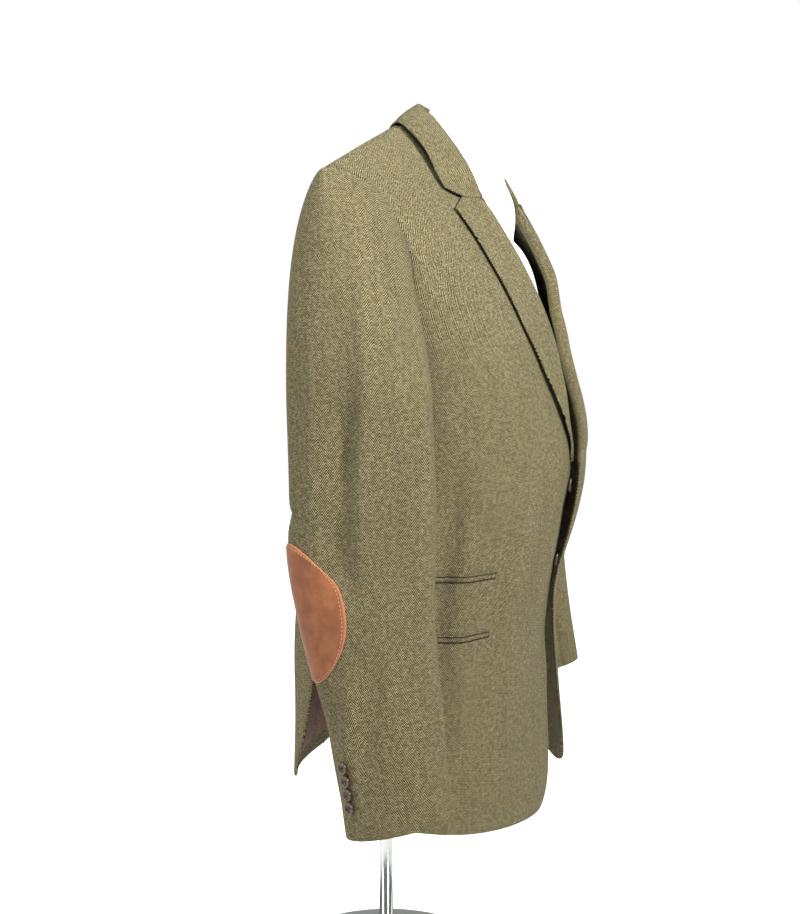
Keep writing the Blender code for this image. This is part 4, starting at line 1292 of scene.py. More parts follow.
def form_shell():
    made = Recipe("form_jersey", Roughness=0.75, Sheen_Weight=0.1)
    place = made.object_place()
    knit = made.noise(place, 900.0, 1.0)
    cloud = made.noise(place, 9.0, 3.0)
    grime = made.noise(place, 60.0, 4.0, 0.6)
    colour = made.blend(cloud.step(0.3, 0.7), (0.95, 0.95, 0.945), (0.93, 0.93, 0.92))
    made.feed("Base Color", made.shade(colour, 0.97 + knit * 0.04 - grime * 0.02))
    made.feed("Roughness", 0.66 + knit * 0.16)
    made.bump(knit * 0.4 + grime * 0.3, 0.0003, 0.4)
    return made.material


def chrome():
    made = Recipe("brushed_chrome", Roughness=0.15, Metallic=1.0)
    place = made.object_place()
    scratch = made.noise(made.node("ShaderNodeMapping", None,
                                   {"Vector": place, "Scale": (1.0, 1.0, 0.04)}), 700.0, 2.0)
    smear = made.noise(place, 24.0, 3.0)
    colour = made.blend(smear.step(0.4, 0.75), (0.50, 0.52, 0.50), (0.40, 0.42, 0.40))
    made.feed("Base Color", made.shade(colour, 0.96 + scratch * 0.06))
    made.feed("Roughness", 0.10 + smear * 0.10 + scratch * 0.08)
    made.bump(scratch, 0.00005, 0.3)
    return made.material


LOOKS = {}


def look(name):
    """One of the jacket's finishes, made the first time that it is asked for."""
    if name not in LOOKS:
        LOOKS[name] = {
            "tweed": lambda: tweed("herringbone_tweed"),
            # The inside tweed is the same cloth painted darker, as painted shade for the facings
            # and the collar stand
            "inside": lambda: tweed("tweed_inside", 0.80),
            "suede": suede, "satin": satin, "horn": horn,
            "pale_thread": lambda: thread("buff_thread", (0.42, 0.29, 0.17)),
            "olive_thread": lambda: thread("olive_thread", (0.11, 0.09, 0.045)),
            "dark_thread": lambda: thread("brown_thread", (0.026, 0.019, 0.012)),
            "form": form_shell, "chrome": chrome,
        }[name]()
    return LOOKS[name]


# ---- stitches


@functools.cache
def stitch_tree():
    """A node tree that lays stitches along a path."""
    tree = bpy.data.node_groups.new("stitches", "GeometryNodeTree")
    face = tree.interface
    face.new_socket("Geometry", in_out="INPUT", socket_type="NodeSocketGeometry")
    sockets = {}
    for name, kind in (("Spacing", "NodeSocketFloat"), ("Length", "NodeSocketFloat"),
                       ("Thread", "NodeSocketFloat"), ("Slant", "NodeSocketFloat"),
                       ("Seed", "NodeSocketInt"), ("Material", "NodeSocketMaterial")):
        sockets[name] = face.new_socket(name, in_out="INPUT", socket_type=kind).identifier
    face.new_socket("Geometry", in_out="OUTPUT", socket_type="NodeSocketGeometry")

    def add(kind, settings=None, **values):
        """Add a node; a node given as a value stands for its first output."""
        node = tree.nodes.new(kind)
        for key, value in (settings or {}).items():
            setattr(node, key, value)
        for key, value in values.items():
            socket = node.inputs[int(key[1:])] if key[0] == "_" else node.inputs[key]
            value = value.outputs[0] if isinstance(value, bpy.types.Node) else value
            if isinstance(value, bpy.types.NodeSocket):
                tree.links.new(value, socket)
            else:
                socket.default_value = value
        return node

    given = add("NodeGroupInput").outputs
    curve = add("GeometryNodeMeshToCurve", None, _0=given["Geometry"])
    spaced = add("GeometryNodeResampleCurve", {"mode": "LENGTH"}, Curve=curve,
                 Length=given["Spacing"])
    ball = add("GeometryNodeMeshUVSphere", None, Segments=7, Rings=6, Radius=1.0)
    half = add("ShaderNodeMath", {"operation": "MULTIPLY"}, _0=given["Length"], _1=0.5)
    size = add("ShaderNodeCombineXYZ", None, _0=half, _1=given["Thread"],
               _2=given["Thread"])
    one = add("GeometryNodeTransform", None, Geometry=ball, Scale=size)
    up = add("GeometryNodeInputNamedAttribute", {"data_type": "FLOAT_VECTOR"}, Name="up")
    along = add("GeometryNodeInputTangent")
    stand = add("FunctionNodeAlignRotationToVector", {"axis": "Z"}, Vector=up)
    lie = add("FunctionNodeAlignRotationToVector", {"axis": "X", "pivot_axis": "Z"},
              Rotation=stand, Vector=along)
    jitter = add("FunctionNodeRandomValue", {"data_type": "FLOAT"}, _2=-0.12, _3=0.12,
                 Seed=given["Seed"])
    slant = add("ShaderNodeMath", {"operation": "ADD"}, _0=given["Slant"], _1=jitter.outputs[1])
    spin = add("ShaderNodeCombineXYZ", None, _2=slant)
    turned = add("FunctionNodeEulerToRotation", None, Euler=spin)
    facing = add("FunctionNodeRotateRotation", {"rotation_space": "LOCAL"},
                 Rotation=lie, _1=turned)
    stretch = add("FunctionNodeRandomValue", {"data_type": "FLOAT"}, _2=0.88, _3=1.10,
                  Seed=given["Seed"])
    scale = add("ShaderNodeCombineXYZ", None, _0=stretch.outputs[1], _1=1.0, _2=1.0)
    laid = add("GeometryNodeInstanceOnPoints", None, Points=spaced,
               Instance=one, Rotation=facing, Scale=scale)
    real = add("GeometryNodeRealizeInstances", None, Geometry=laid)
    done = add("GeometryNodeSetMaterial", None, Geometry=real,
               Material=given["Material"])
    add("NodeGroupOutput", None, _0=done)
    return tree, sockets


def stitches(name, slot, paths, colour, spacing, length, radius, slant=0.0):
    """Stitches along paths of (point, normal) pairs, as a piece with a plain mesh."""
    tree, sockets = stitch_tree()
    points, normals, edges = [], [], []
    for path in paths:
        edges += [(len(points) + i, len(points) + i + 1) for i in range(len(path) - 1)]
        points += [tuple(point) for point, normal in path]
        normals += [tuple(normal) for point, normal in path]
    mesh = bpy.data.meshes.new(name + "_path")
    mesh.from_pydata(points, edges, [])
    up = mesh.attributes.new("up", "FLOAT_VECTOR", "POINT")
    up.data.foreach_set("vector", np.array(normals, dtype=np.float32).ravel())
    path = place_object(name, mesh)
    sewing = path.modifiers.new("stitches", "NODES")
    sewing.node_group = tree
    for key, value in (("Spacing", spacing), ("Length", length), ("Thread", radius),
                       ("Slant", slant), ("Seed", settings().seed)):
        sewing[sockets[key]] = value
    sewing[sockets["Material"]] = look(colour)
    done = baked(path)
    path.modifiers.remove(sewing)
    path.data = done
    done.name = name
    if not done.materials:
        done.materials.append(look(colour))
    done.shade_smooth()
    plain_piece(path, slot)


# ---- making each piece


def make_front(word, side):
    cell = settings().cell
    columns = spread(0.24, cell, False, True)
    levels = lower_levels(cell) + dome_levels(cell)
    rows = front_sheet(side, columns, levels, 0.0)
    sew("cloth_front." + word, "front." + word, "tweed", rows, CLOTH,
        lined(), (False, True, False, True), body_creases(side),
        inside=above_lining)


def lined():
    """The finishes of a panel: tweed outside, and satin where its inner face is lined."""
    return look("tweed"), look("satin")


def above_lining(row, column, grain):
    """The inner faces that are lined, above the separate lining."""
    return grain[row, column, 1] > LINED_FROM


def make_facing(word, side):
    cell = settings().cell
    columns = [mix(0.005, 0.46, share) for share in spread(0.12, cell, False, False)]
    rows = front_sheet(side, columns, lower_levels(cell) + dome_levels(cell, 1.9), -CLOTH - PLY)
    # The facing's darker tweed is painted shade on the same cloth
    sew("cloth_facing." + word, "facing." + word, "tweed_inside", rows, FACING, (look("inside"),),
        creases=body_creases(side))


def make_front_lining(word, side):
    cell = settings().cell
    columns = [mix(0.465, 1.0, share) for share in spread(0.13, cell, False, True)]
    levels = lower_levels(cell, HEM_TURN, LINING_TOP)
    rows = front_sheet(side, columns, levels, -CLOTH - EASE)
    sew("lining_front." + word, "front_lining." + word, "satin", rows, LINING, (look("satin"),),
        (False, True, False, False), body_creases(side))


def make_side(word, side):
    cell = settings().cell
    columns = spread(0.13, cell, True, True)
    rows = [side_row(columns, level, side, 0.0) for level in lower_levels(cell, 0.0, SIDE_TOP)]
    tops = spread(0.07, cell, False, True)[1:]
    rows += [side_row(columns, SIDE_TOP / ARM, side, 0.0, top) for top in tops]
    sew("cloth_side." + word, "side." + word, "tweed", rows, CLOTH, lined(),
        (True, True, False, True), body_creases(side), inside=above_lining)
    levels = lower_levels(cell, HEM_TURN, LINING_TOP)
    rows = [side_row(columns, level, side, -CLOTH - EASE) for level in levels]
    sew("lining_side." + word, "side_lining." + word, "satin", rows, LINING, (look("satin"),),
        (True, True, False, False), body_creases(side))


def make_back(word, side):
    cell = settings().cell
    nape = level_at(0.0, NAPE)
    columns = spread(0.21, cell, True, True)
    dome = [level for level in dome_levels(cell) if level < nape - 0.004]
    levels = lower_levels(cell) + dome + [nape] + [mix(nape, 2, (i / 12) ** 1.5)
                                                   for i in range(1, 13)]

    def place(level, share):
        angle = mix(back_start(level), back_end(level), share)
        at = hung(angle, level)
        return woven(body_point(angle, at, side), angle, at, CENTRE_BACK)
    rows = grid(levels, columns, place)
    sew("cloth_back." + word, "back." + word, "tweed", rows, CLOTH, lined(),
        (True, True, False, True), body_creases(side), inside=above_lining)


def make_back_lining():
    cell = settings().cell
    shares = spread(0.21, cell, False, False)
    columns = [(-1, share) for share in shares] + [(1, share) for share in shares[-2::-1]]

    def place(level, column):
        side, share = column
        angle = mix(back_start(level), CENTRE_BACK, max(share, 0.01))
        at = hung(angle, level)
        across, up = body_grain().cloth(angle, at, CENTRE_BACK)
        return (*body_point(angle, at, side, -CLOTH - EASE), (across * side, up))
    rows = grid(lower_levels(cell, HEM_TURN, LINING_TOP), columns, place)
    sew("lining_back", "back_lining", "satin", rows, LINING, (look("satin"),),
        creases=body_creases(-1) + body_creases(1))


def plumb_weave(rows, level):
    """Give rows the weave of their true distances from the middle column and from one row."""
    across, up = measured([[point for point, normal in row] for row in rows])
    middle = len(rows[0]) // 2
    return [[(*placed, (across[r, c] - across[r, middle], up[level] - up[r]))
             for c, placed in enumerate(row)] for r, row in enumerate(rows)]


def make_sleeve(word, side):
    cell = settings().cell
    head = spread(0.17, cell, True, False)
    lower = [1 + share for share in spread(0.43, cell, False, False)][1:]
    for name, start, end, width in (("top_sleeve", FORE_SEAM - 1, HIND_SEAM, 0.24),
                                    ("under_sleeve", HIND_SEAM, FORE_SEAM, 0.16)):
        columns = spread(width, cell, True, True)
        rows = grid(head + lower, columns,
                    lambda along, share: sleeve_point(mix(start, end, share), along, side))
        rows = plumb_weave(rows, len(head) - 1)
        node = name + "." + word
        sew("cloth_" + node, node, "tweed", rows, CLOTH, lined(),
            (True, True, True, False), sleeve_creases(side),
            inside=lambda r, c, grain: grain[r, c, 1] > grain[..., 1].min() + 0.03)


def patch_place(u, v, side, lift):
    """A point over the elbow patch, mapped from a square."""
    across = u * math.sqrt(1 - v * v / 2)
    down = v * math.sqrt(1 - u * u / 2)
    height = PATCH_HEIGHT - down * PATCH_HALF_TALL
    return sleeve_point(PATCH_TURN + across * PATCH_HALF_TURN, sleeve_along(height), side, lift)


def make_patch(word, side):
    steps = [2 * share - 1 for share in spread(0.13, settings().cell * 0.7,
                                               True, True)]

    def place(v, u):
        rim = 1 - max(abs(u), abs(v))
        return (*patch_place(u, v, side, 0.0012 + 0.0010 * smooth(0, 0.05, rim)), (u, v))
    piece = sew("suede_patch." + word, "elbow_patch." + word, "suede",
                grid(steps, steps, place), 0.0014, (look("suede"),),
                creases=sleeve_creases(side), rests=("cloth_top_sleeve." + word,))
    mesh = piece.data
    uv = np.zeros(len(mesh.loops) * 2, dtype=np.float32)
    mesh.uv_layers[0].data.foreach_get("uv", uv)
    corner = np.zeros(len(mesh.loops), dtype=np.int32)
    mesh.loops.foreach_get("vertex_index", corner)
    rim = np.zeros(len(mesh.vertices), dtype=np.float32)
    rim[corner] = (1 - np.abs(uv.reshape(-1, 2)).max(axis=1)) * 0.055
    edge = mesh.attributes.new("from_edge", "FLOAT", "POINT")
    edge.data.foreach_set("value", rim)
    path = []
    for i in range(PATCH_STITCHES + 1):
        turn = math.tau * i / PATCH_STITCHES
        u, v = math.cos(turn), math.sin(turn)
        largest = max(abs(u), abs(v))
        path.append(patch_place(0.955 * u / largest, 0.955 * v / largest, side, 0.0022))
    sizes = settings()
    stitches("patch_stitches." + word, "suede", [on_cloth(path, sleeve_creases(side))],
             "pale_thread", sizes.stitch * 1.55, sizes.stitch, sizes.thread * 1.1)


LAPEL_ARC = 8


def make_lapel(word, side):
    cell = settings().cell * 0.8
    columns = spread(0.06, cell, False, False)
    count = int((0.66 - BREAK) / cell)
    rows = []
    for i in range(count + 1):
        t = i / count
        row = []
        top = smooth(0.80, 1.0, t)
        arc_height = mix(BREAK - 0.002, GORGE - 0.0006, t)
        row += roll_arc(arc_height, side, LAPEL_ARC)
        fold = roll_line(arc_height, side)
        edge_height = mix(BREAK - 0.002, LAPEL_EDGE[-1][0], t)
        out = track(LAPEL_EDGE, edge_height)[0]
        for share in columns:
            x = mix(fold, out, share)
            straight = mix(arc_height, edge_height, share)
            if share <= 0.6:
                peak = mix(GORGE - 0.0006, NOTCH[1], share / 0.6)
                peak_x = mix(fold, NOTCH[0], share / 0.6)
            else:
                peak = mix(NOTCH[1], LAPEL_EDGE[-1][0], (share - 0.6) / 0.4)
                peak_x = mix(NOTCH[0], LAPEL_EDGE[-1][1], (share - 0.6) / 0.4)
            x, height = mix(x, peak_x, top), mix(straight, peak, top)
            row.append(lapped_point(x, height, side, lapel_lift(share, height))[0])
        rows.append(row)
    across, up = measured(rows)
    packed = [[(point, None, (across[r][c], up[r])) for c, point in enumerate(row)]
              for r, row in enumerate(rows)]
    sew("cloth_lapel." + word, "lapel." + word, "tweed", packed, CLOTH, (look("tweed"),),
        (False, False, False, True), outward=(side * 0.3, -1, 0.3), dip=0.0006,
        rests=("cloth_front." + word,))


NECK_MIDDLE = -0.095   # front-to-back place that the collar's walls look towards
STAND_GAP = 0.0018     # between the collar's fall and its stand
STAND_DROP = 0.0035    # how far the stand's top lies under the fold


def neckward(fold):
    """The level direction from the collar's fold to the neck's middle."""
    return Vector((-fold.x, NECK_MIDDLE - fold.y, 0)).normalized()


def collar_row(station, columns, arc):
    """A row of the collar, from the inside of its fold over to its outer edge."""
    side = 1 if station > 0 else -1
    ending = smooth(0.62, 1.0, abs(station))
    fold = collar_curve(station * 0.97)[0]
    low = fold + neckward(fold) * (CLOTH + STAND_GAP) + Vector((0, 0, HEM - STAND_DROP))
    high = collar_place(station, 0.0) + FLOOR_TO_HEM
    middle, half = (low + high) / 2, (high - low) / 2
    up = Vector((0, 0, 1))
    up = (up - half.normalized() * up.dot(half.normalized())).normalized()
    row = []
    end_arc = roll_arc(GORGE, side, arc)
    for i in range(arc):
        turn = math.pi * (1 - i / arc)
        point = middle + half * math.cos(turn) + up * half.length * math.sin(turn)
        row.append(point.lerp(end_arc[i] + GORGE_GAP, ending ** 3))
    for share in columns:
        shift = gorge_point(share, side) - collar_place(side, share) - FLOOR_TO_HEM
        row.append(collar_place(station, share) + FLOOR_TO_HEM + shift * ending)
    return row


def make_collar():
    cell = settings().cell * 0.8
    columns = spread(0.05, cell, False, False)
    count = 2 * int(0.16 / cell)
    rows = [collar_row(2 * i / count - 1 if abs(2 * i - count) > 0 else 1e-6, columns, LAPEL_ARC)
            for i in range(count + 1)]
    across, up = measured(rows)
    packed = [[(point, None, (up[r] - up[count // 2], -across[r][c])) for c, point in
               enumerate(row)] for r, row in enumerate(rows)]
    sew("cloth_collar_fall", "collar_fall", "tweed", packed, CLOTH, (look("tweed"),),
        outward=(0, 0.5, 1), rests=("cloth_back.right", "cloth_back.left"))


def make_stand():
    rows = []
    for i in range(81):
        station = i / 40 - 1
        fold = collar_curve(station * 0.97)[0]
        inward = neckward(fold)
        drop = mix(0.018, 0.024, smooth(0, 0.7, abs(station)))
        drop = mix(drop, 0.010, smooth(0.75, 1.0, abs(station)))
        lean = mix(0.008, 0.0, smooth(0, 0.5, abs(station)))
        row = []
        for share in (0.0, 0.2, 0.4, 0.6, 0.8, 1.0):
            point = fold + inward * (CLOTH + STAND_GAP - lean * share)
            point += Vector((0, 0, -STAND_DROP - drop * share + HEM))
            row.append((point, inward, (0.006 * i, 0.02 * share)))
        rows.append(row)
    # The stand's darker tweed is painted shade on the same cloth
    sew("cloth_collar_stand", "collar_stand", "tweed_inside", rows, 0.0015, (look("inside"),),
        rests=("cloth_collar_fall",))


def strip(node, side, start, length, height, tall, lift, wall, proud=0.0, corner=0.0, puff=0.0):
    """A strip on the front, level with the hem, from a distance out from the centre."""
    first = angle_at(start, height / ARM)
    sweep = math.degrees(length / POCKET_RADIUS)
    across = spread(length, 0.003, False, False)
    down = spread(tall, min(tall / 6, 0.003), False, False)

    def place(drop, share):
        depth = (drop - 1) * tall + corner
        if corner and drop > 0.5 and depth > 0:
            trim = (corner - math.sqrt(max(corner**2 - depth**2, 0.0))) / length
            share = mix(trim, 1 - trim, share)
        angle = first + sweep * share
        level = (height - tall * drop) / ARM
        away = proud * drop * (1 - share) ** 3 + puff * math.sin(math.pi * drop) ** 0.6
        return woven(lapped(angle, level, side, lift + away), angle, level, FRONT_PLUMB)
    word = node.split(".")[1]
    sew("cloth_" + node, node, "tweed", grid(down, across, place), wall, (look("tweed"),),
        creases=body_creases(side), rests=("cloth_front." + word,))


def make_pockets():
    tacks, edges = [], []
    for node, side, length, height in (("ticket_pocket_jet.right", -1, TICKET_LONG, TICKET_POCKET),
                                       ("hip_pocket_jet.right", -1, HIP_LONG, HIP_POCKET),
                                       ("hip_pocket_jet.left", 1, HIP_LONG, HIP_POCKET)):
        strip(node, side, POCKET_FRONT, length, height, JET_TALL, 0.0006, 0.0012, puff=0.0010)
        for drop in (-0.0002, JET_TALL + 0.0002):
            edges.append(jet_edge(side, length, height - drop))
        for out in (-0.0012, length + 0.0012):
            angle = angle_at(POCKET_FRONT, height / ARM) + math.degrees(out / POCKET_RADIUS)
            path = []
            for i in range(9):
                level = (height + 0.0010 - (JET_TALL + 0.002) * i / 8) / ARM
                path.append(lapped(angle, level, side, 0.0010))
            tacks.append(on_cloth(path, body_creases(side)))
    strip("hip_pocket_flap.left", 1, POCKET_FRONT - 0.001, HIP_LONG - 0.003,
          HIP_POCKET - JET_TALL - 0.0005, FLAP_TALL, PLY + 0.0024, 0.0022, proud=0.012,
          corner=0.014)
    thread = settings().thread
    stitches("pocket_tacks", "tweed", tacks, "dark_thread", 0.0005, 0.0018, thread * 0.8,
             math.pi / 2)
    stitches("pocket_seams", "tweed", edges, "dark_thread", 0.0015, 0.0024, thread * 1.7)


def jet_edge(side, length, height):
    """The sewn line along one edge of a pocket's jet."""
    first = angle_at(POCKET_FRONT, height / ARM)
    sweep = math.degrees(length / POCKET_RADIUS)
    path = [lapped(first + sweep * i / 40, height / ARM, side, 0.0014) for i in range(41)]
    return on_cloth(path, body_creases(side))


def spoke(radius, i, count, height=0.0):
    """One of the points round a circle."""
    turn = math.tau * i / count
    return Vector((radius * math.cos(turn), radius * math.sin(turn), height))


def closed_mesh(name, bm):
    """A mesh of closed shapes, with its faces turned outwards."""
    bmesh.ops.recalc_face_normals(bm, faces=bm.faces)
    mesh = bpy.data.meshes.new(name)
    bm.to_mesh(mesh)
    bm.free()
    return mesh


def turned(name, profile, steps, *looks):
    """A turned solid; its profile starts and ends on the axis."""
    bm = bmesh.new()
    rings = []
    for x, z in profile[1:-1]:
        rings.append([bm.verts.new(spoke(x, i, steps, z)) for i in range(steps)])
    ends = [bm.verts.new((0, 0, profile[0][1])), bm.verts.new((0, 0, profile[-1][1]))]
    for low, high in zip(rings, rings[1:]):
        for i in range(steps):
            j = (i + 1) % steps
            bm.faces.new((low[i], low[j], high[j], high[i]))
    for end, ring in zip(ends, (rings[0], rings[-1])):
        for i in range(steps):
            bm.faces.new((end, ring[i], ring[(i + 1) % steps]))
    return link(name, closed_mesh(name, bm), *looks)


@functools.cache
def button_mesh(radius, thickness):
    """A turned button with a raised rim, a dished middle and four holes."""
    marks = ((0.0, 0.55), (0.16, 0.56), (0.34, 0.58), (0.50, 0.64), (0.60, 0.76), (0.68, 0.92),
             (0.76, 1.00), (0.84, 0.98), (0.92, 0.88), (0.975, 0.70), (1.0, 0.48), (0.985, 0.26),
             (0.93, 0.08), (0.85, 0.0), (0.40, 0.0), (0.0, 0.0))
    button = turned("button", [(radius * x, thickness * z) for x, z in marks], 40, look("horn"))
    drills = []
    for x, y in ((1, 1), (1, -1), (-1, 1), (-1, -1)):
        drill = turned("drill", [(0, -0.001), (radius * 0.09, -0.001),
                                 (radius * 0.09, thickness + 0.001), (0, thickness + 0.001)], 12)
        drill.location = (x * radius * 0.18, y * radius * 0.18, 0)
        drills.append(drill)
        cut = button.modifiers.new("hole", "BOOLEAN")
        cut.operation = "DIFFERENCE"
        cut.object = drill
    bpy.context.view_layer.update()
    made = baked(button)
    for thing in [button] + drills:
        bpy.data.objects.remove(thing, do_unlink=True)
    out = np.zeros(len(made.vertices) * 3)
    made.vertices.foreach_get("co", out)
    far = np.linalg.norm(out.reshape(-1, 3)[:, :2], axis=1) / radius
    rim = made.attributes.new("rim", "FLOAT", "POINT")
    rim.data.foreach_set("value", (soft(0.66, 0.76, far) * (1 - soft(0.90, 1.0, far)))
                         .astype(np.float32))
    return made


def capsule(bm, start, end, radius, sides=8, rings=8):
    """A round-ended bar from one point to another."""
    line = end - start
    turn = line.to_track_quat("Z", "X")
    previous = None
    for i in range(rings + 1):
        t = i / rings
        size = radius * math.sqrt(max(1 - (2 * t - 1) ** 6, 0.0))
        centre = start.lerp(end, t)
        if size < 1e-9:
            ring = [bm.verts.new(centre)]
        else:
            ring = [bm.verts.new(centre + turn @ spoke(size, k, sides)) for k in range(sides)]
        if previous:
            for k in range(sides):
                j = (k + 1) % sides
                if len(previous) == 1:
                    bm.faces.new((previous[0], ring[k], ring[j]))
                elif len(ring) == 1:
                    bm.faces.new((previous[k], ring[0], previous[j]))
                else:
                    bm.faces.new((previous[k], ring[k], ring[j], previous[j]))
        previous = ring


def sew_button(node, radius, thickness, point, normal, spin, bars):
    """Place a button, and add its sewing thread to the bars."""
    name = "horn_" + node
    mesh = button_mesh(radius, thickness).copy()
    turn = normal.to_track_quat("Z", "Y").to_matrix().to_4x4() @ Matrix.Rotation(spin, 4, "Z")
    whole = Matrix.Translation(point + normal * 0.0010) @ turn
    mesh.transform(whole)
    piece = link(name, mesh)
    piece.data.name = name
    for y in (-1, 1):
        for out, beside, thick in ((0.21, 0.18, 0.055), (0.20, 0.14, 0.05)):
            ends = [Vector((x * radius * out, y * radius * beside, thickness * 0.60))
                    for x in (-1, 1)]
            capsule(bars, *[whole @ end for end in ends], radius * thick)
    plain_piece(piece, "horn", node)


def make_buttons():
    bars = bmesh.new()
    holes = []
    for word, side in SIDES:
        paths = sleeve_creases(side)
        for i in range(4):
            height = CUFF_LOWEST + CUFF_PITCH * i
            along = sleeve_along(height)
            point, normal = sleeve_point(CUFF_TURN, along, side, 0.0)
            point = on_cloth([(point, normal)], paths)[0][0]
            sew_button("cuff_button_%d.%s" % (i + 1, word), CUFF_BUTTON, 0.0030, point, normal,
                       0.3 + 0.9 * i + side, bars)
            path = [sleeve_point(CUFF_TURN + 0.010 - 0.050 * k / 8, along, side, 0.0002)
                    for k in range(9)]
            holes.append(on_cloth(path, paths))
    for i, height in enumerate(FRONT_BUTTONS):
        out = front_edge(height, -1) + 0.015
        point, normal = lapped_point(out, height, -1)
        sew_button("front_button_%d" % (i + 1), FRONT_BUTTON, 0.0038, point, normal, 0.4 + i, bars)
        left = front_edge(height, 1)
        holes.append([lapped_point(left + 0.012 + 0.024 * k / 12, height, 1, 0.0002)
                      for k in range(13)])
    mesh = closed_mesh("button_thread", bars)
    plain_piece(link("button_thread", mesh, look("dark_thread")), "horn")
    thread = settings().thread
    stitches("buttonhole_stitches", "tweed", holes, "olive_thread", 0.0006, 0.0034, thread * 0.9,
             math.pi / 2)


def pick_path(side):
    """The line of hand stitches just inside a front's free edge."""
    path = []
    for i in range(120):
        height = mix(0.02, BREAK - 0.004, i / 119)
        path.append(lapped(*front_place(0.022, height / ARM, side), side, 0.0002))
    return on_cloth(path, body_creases(side))


def make_pick_stitches():
    sizes = settings()
    stitches("edge_stitches", "tweed", [pick_path(side) for word, side in SIDES],
             "olive_thread", sizes.stitch * 2.2, sizes.stitch * 0.7, sizes.thread * 0.8)


def rings_mesh(name, table, square, cell):
    """A closed loft through level sections, on a smooth curve."""
    steps = 160
    low, high = table[0][0], table[-1][0]
    count = int((high - low) / cell)
    bm = bmesh.new()
    rings = []
    for k in range(count + 1):
        height = mix(low, high, k / count)
        centre, half_width, front, back = track(table, height)
        ring = []
        for i in range(steps):
            turn = math.tau * i / steps
            depth = power(math.cos(turn), 2 / square)
            ring.append(bm.verts.new((half_width * power(math.sin(turn), 2 / square),
                                      centre - (front if depth > 0 else back) * depth,
                                      height + HEM)))
        rings.append(ring)
    for a, b in zip(rings, rings[1:]):
        for i in range(steps):
            j = (i + 1) % steps
            bm.faces.new((a[i], a[j], b[j], b[i]))
    bm.faces.new(rings[0])
    bm.faces.new(rings[-1])
    return closed_mesh(name, bm)


def make_form():
    torso = link("dress_form", rings_mesh("dress_form", FORM, 2.0, 0.006), look("form"))
    neck = link("neck", rings_mesh("neck", NECK, 2.0, 0.006))
    union = torso.modifiers.new("neck", "BOOLEAN")
    union.operation = "UNION"
    union.object = neck
    remesh = torso.modifiers.new("skin", "REMESH")
    remesh.mode = "VOXEL"
    remesh.voxel_size = 0.0045
    ease = torso.modifiers.new("ease", "SMOOTH")
    ease.factor = 0.5
    ease.iterations = 12
    bpy.context.view_layer.update()
    mesh = baked(torso)
    torso.modifiers.clear()
    torso.data = mesh
    if not mesh.materials:
        mesh.materials.append(look("form"))
    mesh.shade_smooth()
    bpy.data.objects.remove(neck, do_unlink=True)
    plain_piece(torso, "form_shell", "form")


def make_stand_metal():
    top = HEM + FORM[0][0] - 0.0004
    foot = BASE_CROWN + 0.0004
    bevel = 0.0006
    pole = turned("chrome_pole", ((0.0, top), (POLE_RADIUS - bevel, top),
                                  (POLE_RADIUS, top - bevel), (POLE_RADIUS, foot + bevel),
                                  (POLE_RADIUS - bevel, foot), (0.0, foot)), 64, look("chrome"))
    plain_piece(pole, "chrome", "pole")
    base = turned("chrome_base", (
        (0.0, BASE_CROWN), (0.026, BASE_CROWN), (0.030, BASE_CROWN - 0.0004),
        (0.0335, BASE_CROWN - 0.0016), (0.036, BASE_CROWN - 0.004), (0.040, BASE_CROWN - 0.0058),
        (0.050, BASE_CROWN - 0.0072), (0.080, BASE_EDGE + 0.0050),
        (0.120, BASE_EDGE + 0.0024), (BASE_RADIUS - 0.006, BASE_EDGE + 0.0002),
        (BASE_RADIUS - 0.003, BASE_EDGE - 0.0005), (BASE_RADIUS - 0.0008, BASE_EDGE - 0.0019),
        (BASE_RADIUS, BASE_EDGE - 0.004), (BASE_RADIUS, 0.0012), (BASE_RADIUS - 0.0012, 0.0),
        (0.0, 0.0)), 128, look("chrome"))
    plain_piece(base, "chrome", "base")


# ---- stage


FLOOR_RADIUS = 3.2


def make_floor():
    bm = bmesh.new()
    bmesh.ops.create_circle(bm, cap_ends=True, radius=FLOOR_RADIUS, segments=128)
    mesh = bpy.data.meshes.new("studio_floor")
    bm.to_mesh(mesh)
    bm.free()
    made = Recipe("pale_floor", Roughness=0.9, Emission_Strength=1.0, Specular_IOR_Level=0.1)
    cloud = made.noise(made.object_place(), 3.0, 3.0)
    made.feed("Base Color", made.blend(cloud, (0.70, 0.70, 0.697), (0.72, 0.72, 0.718)))
    glow = bpy.context.scene.jacket_stage.glow
    made.shader.inputs["Emission Color"].default_value = (glow, glow, glow, 1.0)
    floor = link("studio_floor", mesh, made.material)
    for polygon in floor.data.polygons:
        if polygon.normal.z < 0:
            polygon.flip()
    floor.location.z = -0.0004


def soft_light(name, place, aim, size, watts, spread=180):
    data = bpy.data.lights.new(name, "AREA")
    data.shape = "DISK"
    data.size = size
    data.energy = watts
    data.spread = math.radians(spread)
    lamp = place_object(name, data)
    lamp.location = place
    lamp.rotation_mode = "QUATERNION"
    lamp.rotation_quaternion = (Vector(aim) - Vector(place)).to_track_quat("-Z", "Y")


